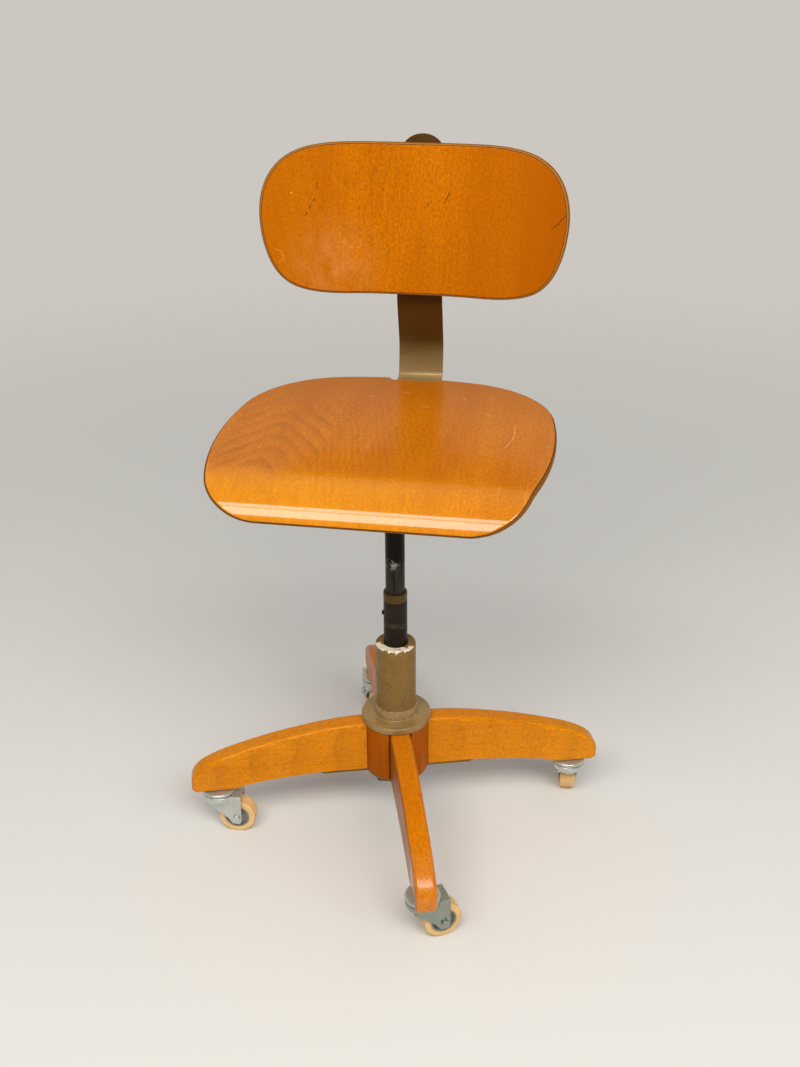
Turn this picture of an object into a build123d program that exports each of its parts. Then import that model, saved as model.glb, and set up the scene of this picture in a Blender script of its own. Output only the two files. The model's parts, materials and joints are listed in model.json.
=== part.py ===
"""Swivel chair: moulded plywood seat and backrest on a telescopic column and a wooden caster base.

Millimetres. The origin is on the column axis at the floor, +Z is up and the sitter faces -Y.
The seat is shown facing straight ahead, and the base under it is turned by base_yaw.
"""

import os
from math import copysign, cos, pi, radians, sin, tan

from build123d import *

os.makedirs("parts", exist_ok=True)

# Clearances
running_fit = 0.05
sliding_gap = 0.1
thrust_gap = 0.1
free_gap = 0.4

# Base
base_yaw = 17.1
leg_thickness = 25.0
leg_tip_radius = 256.0
leg_foot_z = 61.5
leg_foot_start = 212.0
leg_underside_z = 79.0
leg_flat_length = 100.0
leg_edge_round = 5.5
leg_toe_round = 7.0
leg_toe_height = 13.5
leg_arch = ((72.0, 14.1), (40.0, 10.7), (20.0, 6.9))
leg_crest = (
    (2.5, 60.0),
    (10.0, 50.6),
    (22.0, 42.6),
    (43.0, 33.4),
    (64.0, 26.6),
    (102.0, 16.2),
    (131.0, 10.0),
    (159.0, 5.0),
)
hub_radius = 40.3
hub_top_z = 146.0
caster_circle = 223.0
cross_plate_thickness = 5.0
cross_plate_radius = 38.5
cross_arm_width = 20.0
cross_arm_reach = 98.0
plate_screw_reach = (58.0, 86.0)
plate_screw_radius = 2.2
plate_screw_head_radius = 4.2
plate_screw_length = 26.0
plate_screw_head_height = 2.4

# Column, fixed part
sleeve_radius = 24.1
sleeve_bore = 20.5
sleeve_top_z = 254.0
sleeve_lip = 6.0
flange_radius = 42.6
flange_thickness = 9.0
step_ring_radius = 25.8
step_ring_height = 14.0
column_nut_height = 6.0
column_nut_flats = 62.0
bush_height = 38.0

# Column, telescopic part
tube_radius = 14.1
tube_bore = 12.55
tube_foot_z = 125.0
tube_top_z = 313.0
tube_cap_height = 11.0
tube_cap_spigot = 8.0
tube_ring_height = 25.0
tube_plug_height = 15.0
thrust_washer_height = 3.0
stop_pin_z = 294.5
stop_pin_radius = 2.7
stop_pin_reach = 16.0
stop_pin_turn = 189.5

# Seat and what carries it
ply = 10.0
ply_round = 3.4
seat_top_z = 532.0
seat_shift_x = -4.0
seat_rear_y = 153.5
seat_rear_radius = 442.0
seat_rear_swing = 10.4
seat_shoulder_radius = 120.5
seat_shoulder_swing = 70.1
seat_side_radius = 460.5
seat_taper = 13.0
seat_roll_radius = 60.0
seat_roll_angle = 65.7
seat_corner_radius = 62.0
notch_width = 60.0
notch_depth = 9.0
notch_round = 2.0
shaft_radius = 11.4
boss_roof = 5.0
boss_radius = 21.0
boss_foot_radius = 16.5
boss_foot_z = 438.0
boss_neck_height = 40.0
boss_flare_height = 62.0
seat_plate_thickness = 3.0
seat_plate_width = 150.0
seat_plate_length = 220.0
seat_plate_y = 15.0
seat_plate_corner = 18.0
seat_screw_radius = 2.2
seat_screw_head_radius = 5.0
seat_screw_head_height = 2.6
seat_screw_depth = 7.0
seat_screw_inset = 17.0

# Strap that carries the backrest
strap_width = 54.0
strap_thickness = 4.0
strap_front_y = 50.0
strap_foot_y = 192.0
strap_bend_radius = 10.0
strap_bow_y = 199.0
strap_bow_z = 557.0
strap_bow_radius = 60.0
strap_knee_below = 92.0
strap_knee_radius = 70.0
strap_top_above = 95.0
strap_end_round = 26.5
guide_thickness = 3.0
guide_length = 47.0
guide_y = 98.5
guide_flange_reach = 44.0
guide_screw_radius = 2.5
guide_screw_head_radius = 4.2
guide_screw_head_height = 3.2
guide_screw_side_inset = 7.0
guide_screw_end_inset = 9.0
clamp_bolt_radius = 4.0
clamp_bolt_head_radius = 8.0
clamp_bolt_head_height = 3.5
depth_travel_front = 20.0
depth_travel_rear = 25.0
knob_radius = 19.0
knob_height = 20.0
knob_skirt_radius = 12.0
knob_skirt_height = 4.0
knob_scallops = 7
knob_scallop_radius = 6.5
knob_scallop_out = 4.0
knob_edge_round = 1.5
knob_floor = 3.0
washer_radius = 11.0
washer_height = 2.0

# Backrest and its pivot
back_y = 170.5
back_z = 717.0
back_lean = 8.4
back_width = 354.0
back_shift_x = -3.0
back_flare = 10.0
back_height = 171.5
back_top_flatness = 5.2
back_foot_flatness = 8.0
back_end_roundness = 2.0
back_radius = 511.0
back_end_shares = (0.0, 0.3, 0.55, 0.75, 0.88, 0.96)
back_edge_shares = (0.35, 0.0)
back_gap = 14.3
carriage_width = 30.0
carriage_height = 28.0
carriage_base = 3.2
lug_radius = 6.0
pivot_radius = 2.5
pivot_from_strap = 7.6
pivot_head_radius = 4.0
pivot_head_height = 1.6
back_slot_width = 10.0
key_length = 22.0
height_travel_down = 20.0
height_travel_up = 25.0
bracket_thickness = 3.0
bracket_width = 68.0
bracket_height = 54.0
ear_thickness = 3.0
bracket_screw_x = 26.0
bracket_screw_u = 19.0
bracket_screw_radius = 1.8
bracket_screw_head_radius = 4.0
bracket_screw_depth = 6.5
bracket_screw_head_height = 2.2
spot_face_depth = 0.9

# Casters
wheel_radius = 22.5
wheel_width = 20.0
core_radius = 15.6
core_web = 11.0
core_hub_radius = 7.5
core_rim = 2.2
tyre_round = 2.2
wheel_side_gap = 0.8
trail = 22.0
fork_plate = 2.4
crown_radius = 20.3
crown_top_z = 56.0
crown_thickness = 3.4
cheek_rear_z = 46.0
fork_reach = 28.5
bowl_depth = 12.0
bowl_wall = 2.0
bowl_round = 8.0
bowl_mouth = 10.0
crown_edge_round = 1.2
cheek_round = 2.5
caster_disc_radius = 20.5
caster_disc_thickness = 3.0
lip_width = 3.0
lip_round = 2.2
lip_gap = 0.6
caster_stem_radius = 5.5
caster_stem_length = 38.0
kingpin_radius = 4.0
kingpin_head_radius = 6.5
kingpin_head_height = 2.5
race_radius = 16.5
axle_radius = 3.0
axle_head_radius = 4.6
axle_head_height = 3.0

# Heights and positions that follow
hub_foot_z = leg_underside_z
plate_foot_z = hub_foot_z - cross_plate_thickness
sleeve_foot_z = plate_foot_z - column_nut_height
flange_top_z = hub_top_z + flange_thickness
tube_cap_top_z = tube_top_z + tube_cap_height
plug_top_z = tube_foot_z + tube_plug_height
shaft_foot_z = plug_top_z + thrust_washer_height + running_fit
shaft_shoulder_z = tube_top_z - tube_cap_spigot - thrust_gap
seat_under_z = seat_top_z - ply
seat_plate_z = seat_under_z - seat_plate_thickness
shaft_top_z = seat_plate_z - boss_roof
strap_top_z = seat_plate_z - sliding_gap
strap_mid_z = strap_top_z - strap_thickness / 2
guide_inner_z = strap_top_z - strap_thickness - sliding_gap
guide_foot_z = guide_inner_z - guide_thickness
back_up = (0.0, sin(radians(back_lean)), cos(radians(back_lean)))
back_out = (0.0, -cos(radians(back_lean)), sin(radians(back_lean)))
strap_y = back_y - (ply + back_gap) * back_out[1]
strap_z = back_z - (ply + back_gap) * back_out[2]
fork_inner = wheel_width / 2 + wheel_side_gap
fork_outer = fork_inner + fork_plate
crown_under_z = crown_top_z - crown_thickness
disc_under_z = leg_foot_z - caster_disc_thickness
lip_foot_z = crown_top_z + lip_gap
bowl_foot_z = crown_top_z - bowl_depth
legs = (("front", 0.0), ("right", 90.0), ("rear", 180.0), ("left", 270.0))
caster_turn = {"front": 120.7, "right": 185.0, "rear": 205.0, "left": 94.2}

# Cross plate of the base, screwed under the legs and round the foot of the column.
with BuildPart() as cross_plate:
    plate_plane = Plane(
        origin=(0, 0, plate_foot_z),
        x_dir=(sin(radians(base_yaw)), -cos(radians(base_yaw)), 0),
        z_dir=(0, 0, 1),
    )
    with BuildSketch(plate_plane) as cross_outline:
        Rectangle(2 * cross_arm_reach, cross_arm_width)
        Rectangle(cross_arm_width, 2 * cross_arm_reach)
        fillet(cross_outline.vertices().group_by(SortBy.DISTANCE)[-1], cross_arm_width / 2.2)
        Circle(cross_plate_radius)
        Circle(sleeve_radius + free_gap, mode=Mode.SUBTRACT)
        for reach in plate_screw_reach:
            with PolarLocations(reach, 4):
                Circle(plate_screw_radius + free_gap / 2, mode=Mode.SUBTRACT)
    extrude(amount=cross_plate_thickness)
cross_plate.part.label = "cross_plate"
export_step(cross_plate.part, "parts/cross_plate.step")

# Round-headed wood screws that hold the cross plate to the legs.
with BuildPart() as plate_screws:
    head_plane = Plane(
        origin=(0, 0, plate_foot_z),
        x_dir=(sin(radians(base_yaw)), -cos(radians(base_yaw)), 0),
        z_dir=(0, 0, 1),
    )
    with BuildSketch(head_plane):
        for reach in plate_screw_reach:
            with PolarLocations(reach, 4):
                Circle(plate_screw_radius)
    extrude(amount=plate_screw_length)
    with BuildSketch(head_plane):
        for reach in plate_screw_reach:
            with PolarLocations(reach, 4):
                Circle(plate_screw_head_radius)
    extrude(amount=-plate_screw_head_height)
    fillet(plate_screws.edges().group_by(Axis.Z)[0], 1.2)
plate_screws.part.label = "plate_screws"
export_step(plate_screws.part, "parts/plate_screws.step")

# Curved wooden legs, cut from board, with rounded upper edges and a flat foot for the caster.
for leg_name, leg_turn in legs:
    heading = radians(base_yaw + leg_turn)
    along = (sin(heading), -cos(heading), 0)
    leg_plane = Plane(origin=(0, 0, 0), x_dir=along, z_dir=(-cos(heading), -sin(heading), 0))
    with BuildPart() as leg:
        with BuildSketch(leg_plane):
            with BuildLine():
                inner = sleeve_radius + free_gap
                under = Line((inner, hub_foot_z), (leg_flat_length, leg_underside_z))
                arch = Spline(
                    under @ 1,
                    *[(leg_foot_start - inward, leg_foot_z + rise) for inward, rise in leg_arch],
                    (leg_foot_start, leg_foot_z),
                )
                foot = Line(arch @ 1, (leg_tip_radius - leg_toe_round, leg_foot_z))
                toe = RadiusArc(foot @ 1, (leg_tip_radius, leg_foot_z + leg_toe_round), -leg_toe_round)
                tip = Line(toe @ 1, (leg_tip_radius, leg_foot_z + leg_toe_height))
                crest = Spline(
                    tip @ 1,
                    *[(leg_tip_radius - inward, hub_top_z - drop) for inward, drop in leg_crest],
                    (flange_radius + 1, hub_top_z),
                )
                seat_line = Line(crest @ 1, (inner, hub_top_z))
                Line(seat_line @ 1, (inner, hub_foot_z))
            make_face()
        extrude(amount=leg_thickness / 2, both=True)
        fillet(leg.edges().sort_by(SortBy.LENGTH)[-2:], leg_edge_round)
        stem_plane = Plane(
            origin=(caster_circle * along[0], caster_circle * along[1], leg_foot_z),
            z_dir=(0, 0, 1),
        )
        with BuildSketch(stem_plane):
            Circle(caster_stem_radius)
        extrude(amount=caster_stem_length + 2, mode=Mode.SUBTRACT)
        for reach in plate_screw_reach:
            pilot_plane = Plane(
                origin=(reach * along[0], reach * along[1], hub_foot_z), z_dir=(0, 0, 1)
            )
            with BuildSketch(pilot_plane):
                Circle(plate_screw_radius)
            extrude(amount=plate_screw_length, mode=Mode.SUBTRACT)
    leg.part.label = "leg_" + leg_name
    export_step(leg.part, "parts/leg_" + leg_name + ".step")

# Hub blocks, glued in the corners between the legs and turned round.
for block_number, (leg_name, leg_turn) in enumerate(legs, start=1):
    heading = radians(base_yaw + leg_turn)
    block_plane = Plane(
        origin=(0, 0, hub_foot_z), x_dir=(sin(heading), -cos(heading), 0), z_dir=(0, 0, 1)
    )
    with BuildPart() as hub_block:
        with BuildSketch(block_plane):
            Circle(hub_radius)
            Circle(sleeve_radius + free_gap, mode=Mode.SUBTRACT)
            with Locations((leg_thickness / 2, leg_thickness / 2)):
                Rectangle(hub_radius, hub_radius, align=(Align.MIN, Align.MIN), mode=Mode.INTERSECT)
        extrude(amount=hub_top_z - hub_foot_z)
    hub_block.part.label = "hub_block_" + str(block_number)
    export_step(hub_block.part, "parts/hub_block_" + str(block_number) + ".step")

# Flange with its step ring, which bears on the hub from above.
with BuildPart() as column_flange:
    with BuildSketch(Plane.XZ):
        with BuildLine():
            Polyline(
                (sleeve_radius, hub_top_z),
                (flange_radius, hub_top_z),
                (flange_radius, flange_top_z),
                (step_ring_radius, flange_top_z),
                (step_ring_radius, flange_top_z + step_ring_height),
                (sleeve_radius, flange_top_z + step_ring_height),
                close=True,
            )
        make_face()
    revolve(axis=Axis.Z)
    outer_rims = column_flange.edges().filter_by(GeomType.CIRCLE).filter_by(
        lambda rim: rim.radius > flange_radius - 0.1
    )
    fillet(outer_rims, 2.2)
column_flange.part.label = "column_flange"
export_step(column_flange.part, "parts/column_flange.step")

# Sleeve of the column, a thick tube closed in at the top round the guide tube.
with BuildPart() as column_sleeve:
    with BuildSketch(Plane.XZ):
        with BuildLine():
            Polyline(
                (sleeve_bore, sleeve_foot_z),
                (sleeve_radius, sleeve_foot_z),
                (sleeve_radius, sleeve_top_z),
                (tube_radius + free_gap, sleeve_top_z),
                (tube_radius + free_gap, sleeve_top_z - sleeve_lip),
                (sleeve_bore, sleeve_top_z - sleeve_lip),
                close=True,
            )
        make_face()
    revolve(axis=Axis.Z)
    fillet(column_sleeve.edges().group_by(Axis.Z)[-1].sort_by(SortBy.RADIUS)[-1], 2.0)
column_sleeve.part.label = "column_sleeve"
export_step(column_sleeve.part, "parts/column_sleeve.step")

# Nut on the foot of the sleeve, which clamps flange, hub and cross plate together.
with BuildPart() as column_nut:
    with BuildSketch(Plane.XY.offset(sleeve_foot_z)):
        RegularPolygon(column_nut_flats / 2, 6, major_radius=False)
        Circle(sleeve_radius, mode=Mode.SUBTRACT)
    extrude(amount=column_nut_height)
column_nut.part.label = "column_nut"
export_step(column_nut.part, "parts/column_nut.step")

# Guide bush in the upper end of the sleeve.
with BuildPart() as guide_bush:
    with BuildSketch(Plane.XY.offset(sleeve_top_z - sleeve_lip - bush_height)):
        Circle(sleeve_bore)
        Circle(tube_radius + running_fit, mode=Mode.SUBTRACT)
    extrude(amount=bush_height)
guide_bush.part.label = "guide_bush"
export_step(guide_bush.part, "parts/guide_bush.step")

# Guide tube that slides in the sleeve to set the height of the seat.
with BuildPart() as guide_tube:
    with BuildSketch(Plane.XY.offset(tube_foot_z)):
        Circle(tube_radius)
        Circle(tube_bore, mode=Mode.SUBTRACT)
    extrude(amount=tube_top_z - tube_foot_z)
    pin_plane = Plane(
        origin=(0, 0, stop_pin_z),
        x_dir=(0, 0, 1),
        z_dir=(cos(radians(stop_pin_turn)), sin(radians(stop_pin_turn)), 0),
    )
    with BuildSketch(pin_plane):
        Circle(stop_pin_radius)
    extrude(amount=stop_pin_reach, mode=Mode.SUBTRACT)
guide_tube.part.label = "guide_tube"
export_step(guide_tube.part, "parts/guide_tube.step")

# Stop pin in the wall of the tube, which meets the sleeve when the seat is at its lowest.
with BuildPart() as stop_pin:
    with BuildSketch(pin_plane.offset(tube_bore + running_fit)):
        Circle(stop_pin_radius)
    extrude(amount=stop_pin_reach - tube_bore - running_fit)
    fillet(stop_pin.faces().sort_by(Axis.X)[0].edges(), 0.6)
stop_pin.part.label = "stop_pin"
export_step(stop_pin.part, "parts/stop_pin.step")

# Ring on the foot of the tube, which runs in the bore of the sleeve.
with BuildPart() as tube_ring:
    with BuildSketch(Plane.XY.offset(tube_foot_z)):
        Circle(sleeve_bore - running_fit)
        Circle(tube_radius, mode=Mode.SUBTRACT)
    extrude(amount=tube_ring_height)
tube_ring.part.label = "tube_ring"
export_step(tube_ring.part, "parts/tube_ring.step")

# Plug that closes the foot of the tube.
with BuildPart() as tube_plug:
    with BuildSketch(Plane.XY.offset(tube_foot_z)):
        Circle(tube_bore)
    extrude(amount=tube_plug_height)
tube_plug.part.label = "tube_plug"
export_step(tube_plug.part, "parts/tube_plug.step")

# Washer on which the seat shaft turns.
with BuildPart() as thrust_washer:
    with BuildSketch(Plane.XY.offset(plug_top_z)):
        Circle(tube_bore - free_gap)
    extrude(amount=thrust_washer_height)
thrust_washer.part.label = "thrust_washer"
export_step(thrust_washer.part, "parts/thrust_washer.step")

# Cap of the tube: the painted band at its top, which keeps the seat shaft in.
with BuildPart() as tube_cap:
    with BuildSketch(Plane.XZ):
        with BuildLine():
            Polyline(
                (shaft_radius + running_fit, tube_top_z - tube_cap_spigot),
                (tube_bore, tube_top_z - tube_cap_spigot),
                (tube_bore, tube_top_z),
                (tube_radius, tube_top_z),
                (tube_radius, tube_cap_top_z),
                (shaft_radius + running_fit, tube_cap_top_z),
                close=True,
            )
        make_face()
    revolve(axis=Axis.Z)
    chamfer(tube_cap.edges().group_by(Axis.Z)[-1].sort_by(SortBy.RADIUS)[-1], 0.8)
tube_cap.part.label = "tube_cap"
export_step(tube_cap.part, "parts/tube_cap.step")

# Shaft that turns in the tube and carries the seat.
with BuildPart() as seat_shaft:
    with BuildSketch(Plane.XZ):
        with BuildLine():
            Polyline(
                (0, shaft_foot_z),
                (tube_bore - running_fit, shaft_foot_z),
                (tube_bore - running_fit, shaft_shoulder_z),
                (shaft_radius, shaft_shoulder_z),
                (shaft_radius, shaft_top_z),
                (0, shaft_top_z),
                close=True,
            )
        make_face()
    revolve(axis=Axis.Z)
seat_shaft.part.label = "seat_shaft"
export_step(seat_shaft.part, "parts/seat_shaft.step")

# Boss that holds the top of the shaft under the seat plate.
with BuildPart() as seat_boss:
    with BuildSketch(Plane.XZ):
        with BuildLine():
            Polyline(
                (shaft_radius, boss_foot_z),
                (boss_foot_radius, boss_foot_z),
                (boss_foot_radius, boss_foot_z + boss_neck_height),
                (boss_radius, boss_foot_z + boss_flare_height),
                (boss_radius, seat_plate_z),
                (0, seat_plate_z),
                (0, shaft_top_z),
                (shaft_radius, shaft_top_z),
                close=True,
            )
        make_face()
    revolve(axis=Axis.Z)
seat_boss.part.label = "seat_boss"
export_step(seat_boss.part, "parts/seat_boss.step")

# Steel plate under the seat.
seat_screw_spots = [
    (side * (seat_plate_width / 2 - seat_screw_inset), end * (seat_plate_length / 2 - seat_screw_inset))
    for side in (-1, 1)
    for end in (-1, 1)
]
guide_screw_spots = [
    (
        side * (guide_flange_reach - guide_screw_side_inset),
        guide_y + end * (guide_length / 2 - guide_screw_end_inset),
    )
    for side in (-1, 1)
    for end in (-1, 1)
]
with BuildPart() as seat_plate:
    with BuildSketch(Plane(origin=(0, seat_plate_y, seat_plate_z), z_dir=(0, 0, 1))):
        RectangleRounded(seat_plate_width, seat_plate_length, seat_plate_corner)
        with Locations(*seat_screw_spots):
            Circle(seat_screw_radius + free_gap / 2, mode=Mode.SUBTRACT)
    extrude(amount=seat_plate_thickness)
    with BuildSketch(Plane.XY.offset(seat_plate_z)):
        with Locations(*guide_screw_spots):
            Circle(guide_screw_radius)
        with Locations((0, guide_y)):
            Circle(clamp_bolt_radius)
    extrude(amount=seat_plate_thickness, mode=Mode.SUBTRACT)
seat_plate.part.label = "seat_plate"
export_step(seat_plate.part, "parts/seat_plate.step")

# Wood screws that hold the plate to the seat.
with BuildPart() as seat_screws:
    with BuildSketch(Plane(origin=(0, seat_plate_y, seat_plate_z), z_dir=(0, 0, 1))):
        with Locations(*seat_screw_spots):
            Circle(seat_screw_radius)
    extrude(amount=seat_plate_thickness + seat_screw_depth)
    with BuildSketch(Plane(origin=(0, seat_plate_y, seat_plate_z), z_dir=(0, 0, 1))):
        with Locations(*seat_screw_spots):
            Circle(seat_screw_head_radius)
    extrude(amount=-seat_screw_head_height)
    fillet(seat_screws.edges().group_by(Axis.Z)[0], 1.4)
seat_screws.part.label = "seat_screws"
export_step(seat_screws.part, "parts/seat_screws.step")

# Blank of the rolled front of the seat, trimmed to the front corners.
roll_centre_z = seat_top_z - seat_roll_radius
roll_length = seat_roll_radius * radians(seat_roll_angle)
taper = radians(seat_taper)
seat_arcs = (
    (seat_rear_radius, seat_rear_swing),
    (seat_shoulder_radius, seat_shoulder_swing),
    (seat_side_radius, 90 + seat_taper - seat_rear_swing - seat_shoulder_swing),
)
roll_half = 0.0
roll_start_y = seat_rear_y
heading = 0.0
for arc_radius, swing in seat_arcs:
    turned = heading + radians(swing)
    roll_half += arc_radius * (sin(turned) - sin(heading))
    roll_start_y -= arc_radius * (cos(heading) - cos(turned))
    heading = turned
front_half = roll_half - roll_length * tan(taper)
corner_swing = pi / 2 - taper
corner_x = front_half - seat_corner_radius * tan(corner_swing / 2)
right_rim = []
left_rim = []
for step in range(9):
    turn = corner_swing * step / 8
    run = roll_length - seat_corner_radius * (1 - cos(turn))
    rim_x = corner_x + seat_corner_radius * sin(turn)
    rim_y = roll_start_y - seat_roll_radius * sin(run / seat_roll_radius)
    right_rim.insert(0, (rim_x, rim_y))
    left_rim.append((-rim_x, rim_y))
with BuildPart() as roll_blank:
    with BuildSketch(Plane.YZ):
        with BuildLine():
            outer_roll = CenterArc(
                (roll_start_y, roll_centre_z), seat_roll_radius, 90, seat_roll_angle
            )
            inner_roll = CenterArc(
                (roll_start_y, roll_centre_z), seat_roll_radius - ply, 90, seat_roll_angle
            )
            Line(outer_roll @ 1, inner_roll @ 1)
            Line(outer_roll @ 0, inner_roll @ 0)
        make_face()
    extrude(amount=2 * roll_half, both=True)
    with BuildSketch(Plane(origin=(seat_shift_x, 0, seat_top_z + ply), z_dir=(0, 0, 1))):
        with BuildLine():
            Spline(
                (roll_half, roll_start_y),
                *right_rim,
                tangents=[(-sin(taper), -cos(taper)), (-1, 0)],
            )
            Line(right_rim[-1], left_rim[0])
            Spline(
                *left_rim,
                (-roll_half, roll_start_y),
                tangents=[(-1, 0), (-sin(taper), cos(taper))],
            )
            Line((-roll_half, roll_start_y), (roll_half, roll_start_y))
        make_face()
    extrude(amount=-seat_roll_radius - ply, mode=Mode.INTERSECT)

# Seat: moulded plywood, a squarish round at the rear, tapering to the front, where it rolls down.
with BuildPart() as seat_shell:
    with BuildSketch(Plane(origin=(seat_shift_x, 0, seat_under_z), z_dir=(0, 0, 1))):
        with BuildLine():
            rim_spot = (0, seat_rear_y)
            rim_way = (1, 0)
            for arc_radius, swing in seat_arcs:
                rim_arc = JernArc(start=rim_spot, tangent=rim_way, radius=arc_radius, arc_size=-swing)
                rim_spot = rim_arc @ 1
                rim_way = rim_arc % 1
            mirror(about=Plane.YZ)
            Line((-roll_half, roll_start_y), (roll_half, roll_start_y))
        make_face()
    extrude(amount=ply)
    skin = roll_blank.faces().filter_by(GeomType.CYLINDER).sort_by(SortBy.AREA)[-1]
    thicken(skin, amount=-ply)
    rims = seat_shell.edges().filter_by(lambda edge: edge.length > ply + 0.2)
    bend_lines = rims.filter_by(Axis.X).filter_by(
        lambda edge: abs(edge.center().Y - roll_start_y) < 0.5
    )
    fillet([edge for edge in rims if edge not in bend_lines], ply_round)
    with BuildSketch(Plane.XY.offset(seat_under_z)):
        with Locations((0, seat_rear_y)):
            RectangleRounded(notch_width, 2 * notch_depth, notch_depth * 0.8)
    extrude(amount=ply, mode=Mode.SUBTRACT)
    notch_rims = seat_shell.edges().filter_by(
        lambda edge: edge.center().Y > seat_rear_y - notch_depth - 0.5
        and abs(edge.center().X) < notch_width / 2 - 0.5
        and abs(edge.center().Z - seat_top_z + ply / 2) > ply / 2 - 0.01
    )
    fillet(notch_rims, notch_round)
    with BuildSketch(Plane(origin=(0, seat_plate_y, seat_under_z), z_dir=(0, 0, 1))):
        with Locations(*seat_screw_spots):
            Circle(seat_screw_radius)
    extrude(amount=seat_screw_depth, mode=Mode.SUBTRACT)
    with BuildSketch(Plane(origin=(0, guide_y, seat_under_z), z_dir=(0, 0, 1))):
        Circle(clamp_bolt_head_radius + free_gap)
    extrude(amount=clamp_bolt_head_height + free_gap, mode=Mode.SUBTRACT)
seat_shell.part.label = "seat_shell"
export_step(seat_shell.part, "parts/seat_shell.step")

# Guide under the seat plate, a folded channel in which the strap slides.
with BuildPart() as strap_guide:
    channel_half = strap_width / 2 + free_gap
    channel_plane = Plane(origin=(0, guide_y, 0), x_dir=(1, 0, 0), z_dir=(0, -1, 0))
    with BuildSketch(channel_plane):
        with BuildLine():
            Polyline(
                (-guide_flange_reach, seat_plate_z),
                (-channel_half, seat_plate_z),
                (-channel_half, guide_inner_z),
                (channel_half, guide_inner_z),
                (channel_half, seat_plate_z),
                (guide_flange_reach, seat_plate_z),
                (guide_flange_reach, seat_plate_z - guide_thickness),
                (channel_half + guide_thickness, seat_plate_z - guide_thickness),
                (channel_half + guide_thickness, guide_foot_z),
                (-channel_half - guide_thickness, guide_foot_z),
                (-channel_half - guide_thickness, seat_plate_z - guide_thickness),
                (-guide_flange_reach, seat_plate_z - guide_thickness),
                close=True,
            )
        make_face()
    extrude(amount=guide_length / 2, both=True)
    with BuildSketch(Plane.XY.offset(guide_foot_z)):
        with Locations(*guide_screw_spots):
            Circle(guide_screw_radius + free_gap / 2)
        with Locations((0, guide_y)):
            Circle(clamp_bolt_radius + free_gap / 2)
    extrude(amount=seat_plate_z - guide_foot_z, mode=Mode.SUBTRACT)
strap_guide.part.label = "strap_guide"
export_step(strap_guide.part, "parts/strap_guide.step")

# Screws of the guide, tapped into the seat plate.
with BuildPart() as guide_screws:
    flange_under_z = seat_plate_z - guide_thickness
    with BuildSketch(Plane.XY.offset(flange_under_z)):
        with Locations(*guide_screw_spots):
            Circle(guide_screw_radius)
    extrude(amount=seat_under_z - flange_under_z)
    with BuildSketch(Plane.XY.offset(flange_under_z)):
        with Locations(*guide_screw_spots):
            Circle(guide_screw_head_radius)
    extrude(amount=-guide_screw_head_height)
guide_screws.part.label = "guide_screws"
export_step(guide_screws.part, "parts/guide_screws.step")

# Clamp bolt of the guide: its head lies in a pocket of the seat.
knob_top_z = guide_foot_z - washer_height - thrust_gap
with BuildPart() as depth_bolt:
    with BuildSketch(Plane(origin=(0, guide_y, seat_under_z), z_dir=(0, 0, 1))):
        Circle(clamp_bolt_head_radius)
    extrude(amount=clamp_bolt_head_height)
    with BuildSketch(Plane(origin=(0, guide_y, seat_under_z), z_dir=(0, 0, 1))):
        Circle(clamp_bolt_radius)
    extrude(amount=-(seat_under_z - knob_top_z + knob_height - knob_floor - 1))
depth_bolt.part.label = "depth_bolt"
export_step(depth_bolt.part, "parts/depth_bolt.step")

# Washer between the guide and the knob.
with BuildPart() as depth_washer:
    with BuildSketch(Plane(origin=(0, guide_y, guide_foot_z), z_dir=(0, 0, 1))):
        Circle(washer_radius)
        Circle(clamp_bolt_radius + free_gap / 2, mode=Mode.SUBTRACT)
    extrude(amount=-washer_height)
depth_washer.part.label = "depth_washer"
export_step(depth_washer.part, "parts/depth_washer.step")

# Knob that clamps the strap at the chosen depth.
with BuildPart() as depth_knob:
    with BuildSketch(Plane(origin=(0, guide_y, knob_top_z), z_dir=(0, 0, 1))):
        Circle(knob_skirt_radius)
    extrude(amount=-knob_skirt_height)
    with BuildSketch(Plane(origin=(0, guide_y, knob_top_z - knob_skirt_height), z_dir=(0, 0, 1))):
        Circle(knob_radius)
        with PolarLocations(knob_radius + knob_scallop_out, knob_scallops):
            Circle(knob_scallop_radius, mode=Mode.SUBTRACT)
    extrude(amount=-(knob_height - knob_skirt_height))
    fillet(depth_knob.faces().sort_by(Axis.Z)[0].edges(), knob_edge_round)
    with BuildSketch(Plane(origin=(0, guide_y, knob_top_z), z_dir=(0, 0, 1))):
        Circle(clamp_bolt_radius + running_fit)
    extrude(amount=-(knob_height - knob_floor), mode=Mode.SUBTRACT)
depth_knob.part.label = "depth_knob"
export_step(depth_knob.part, "parts/depth_knob.step")

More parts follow.
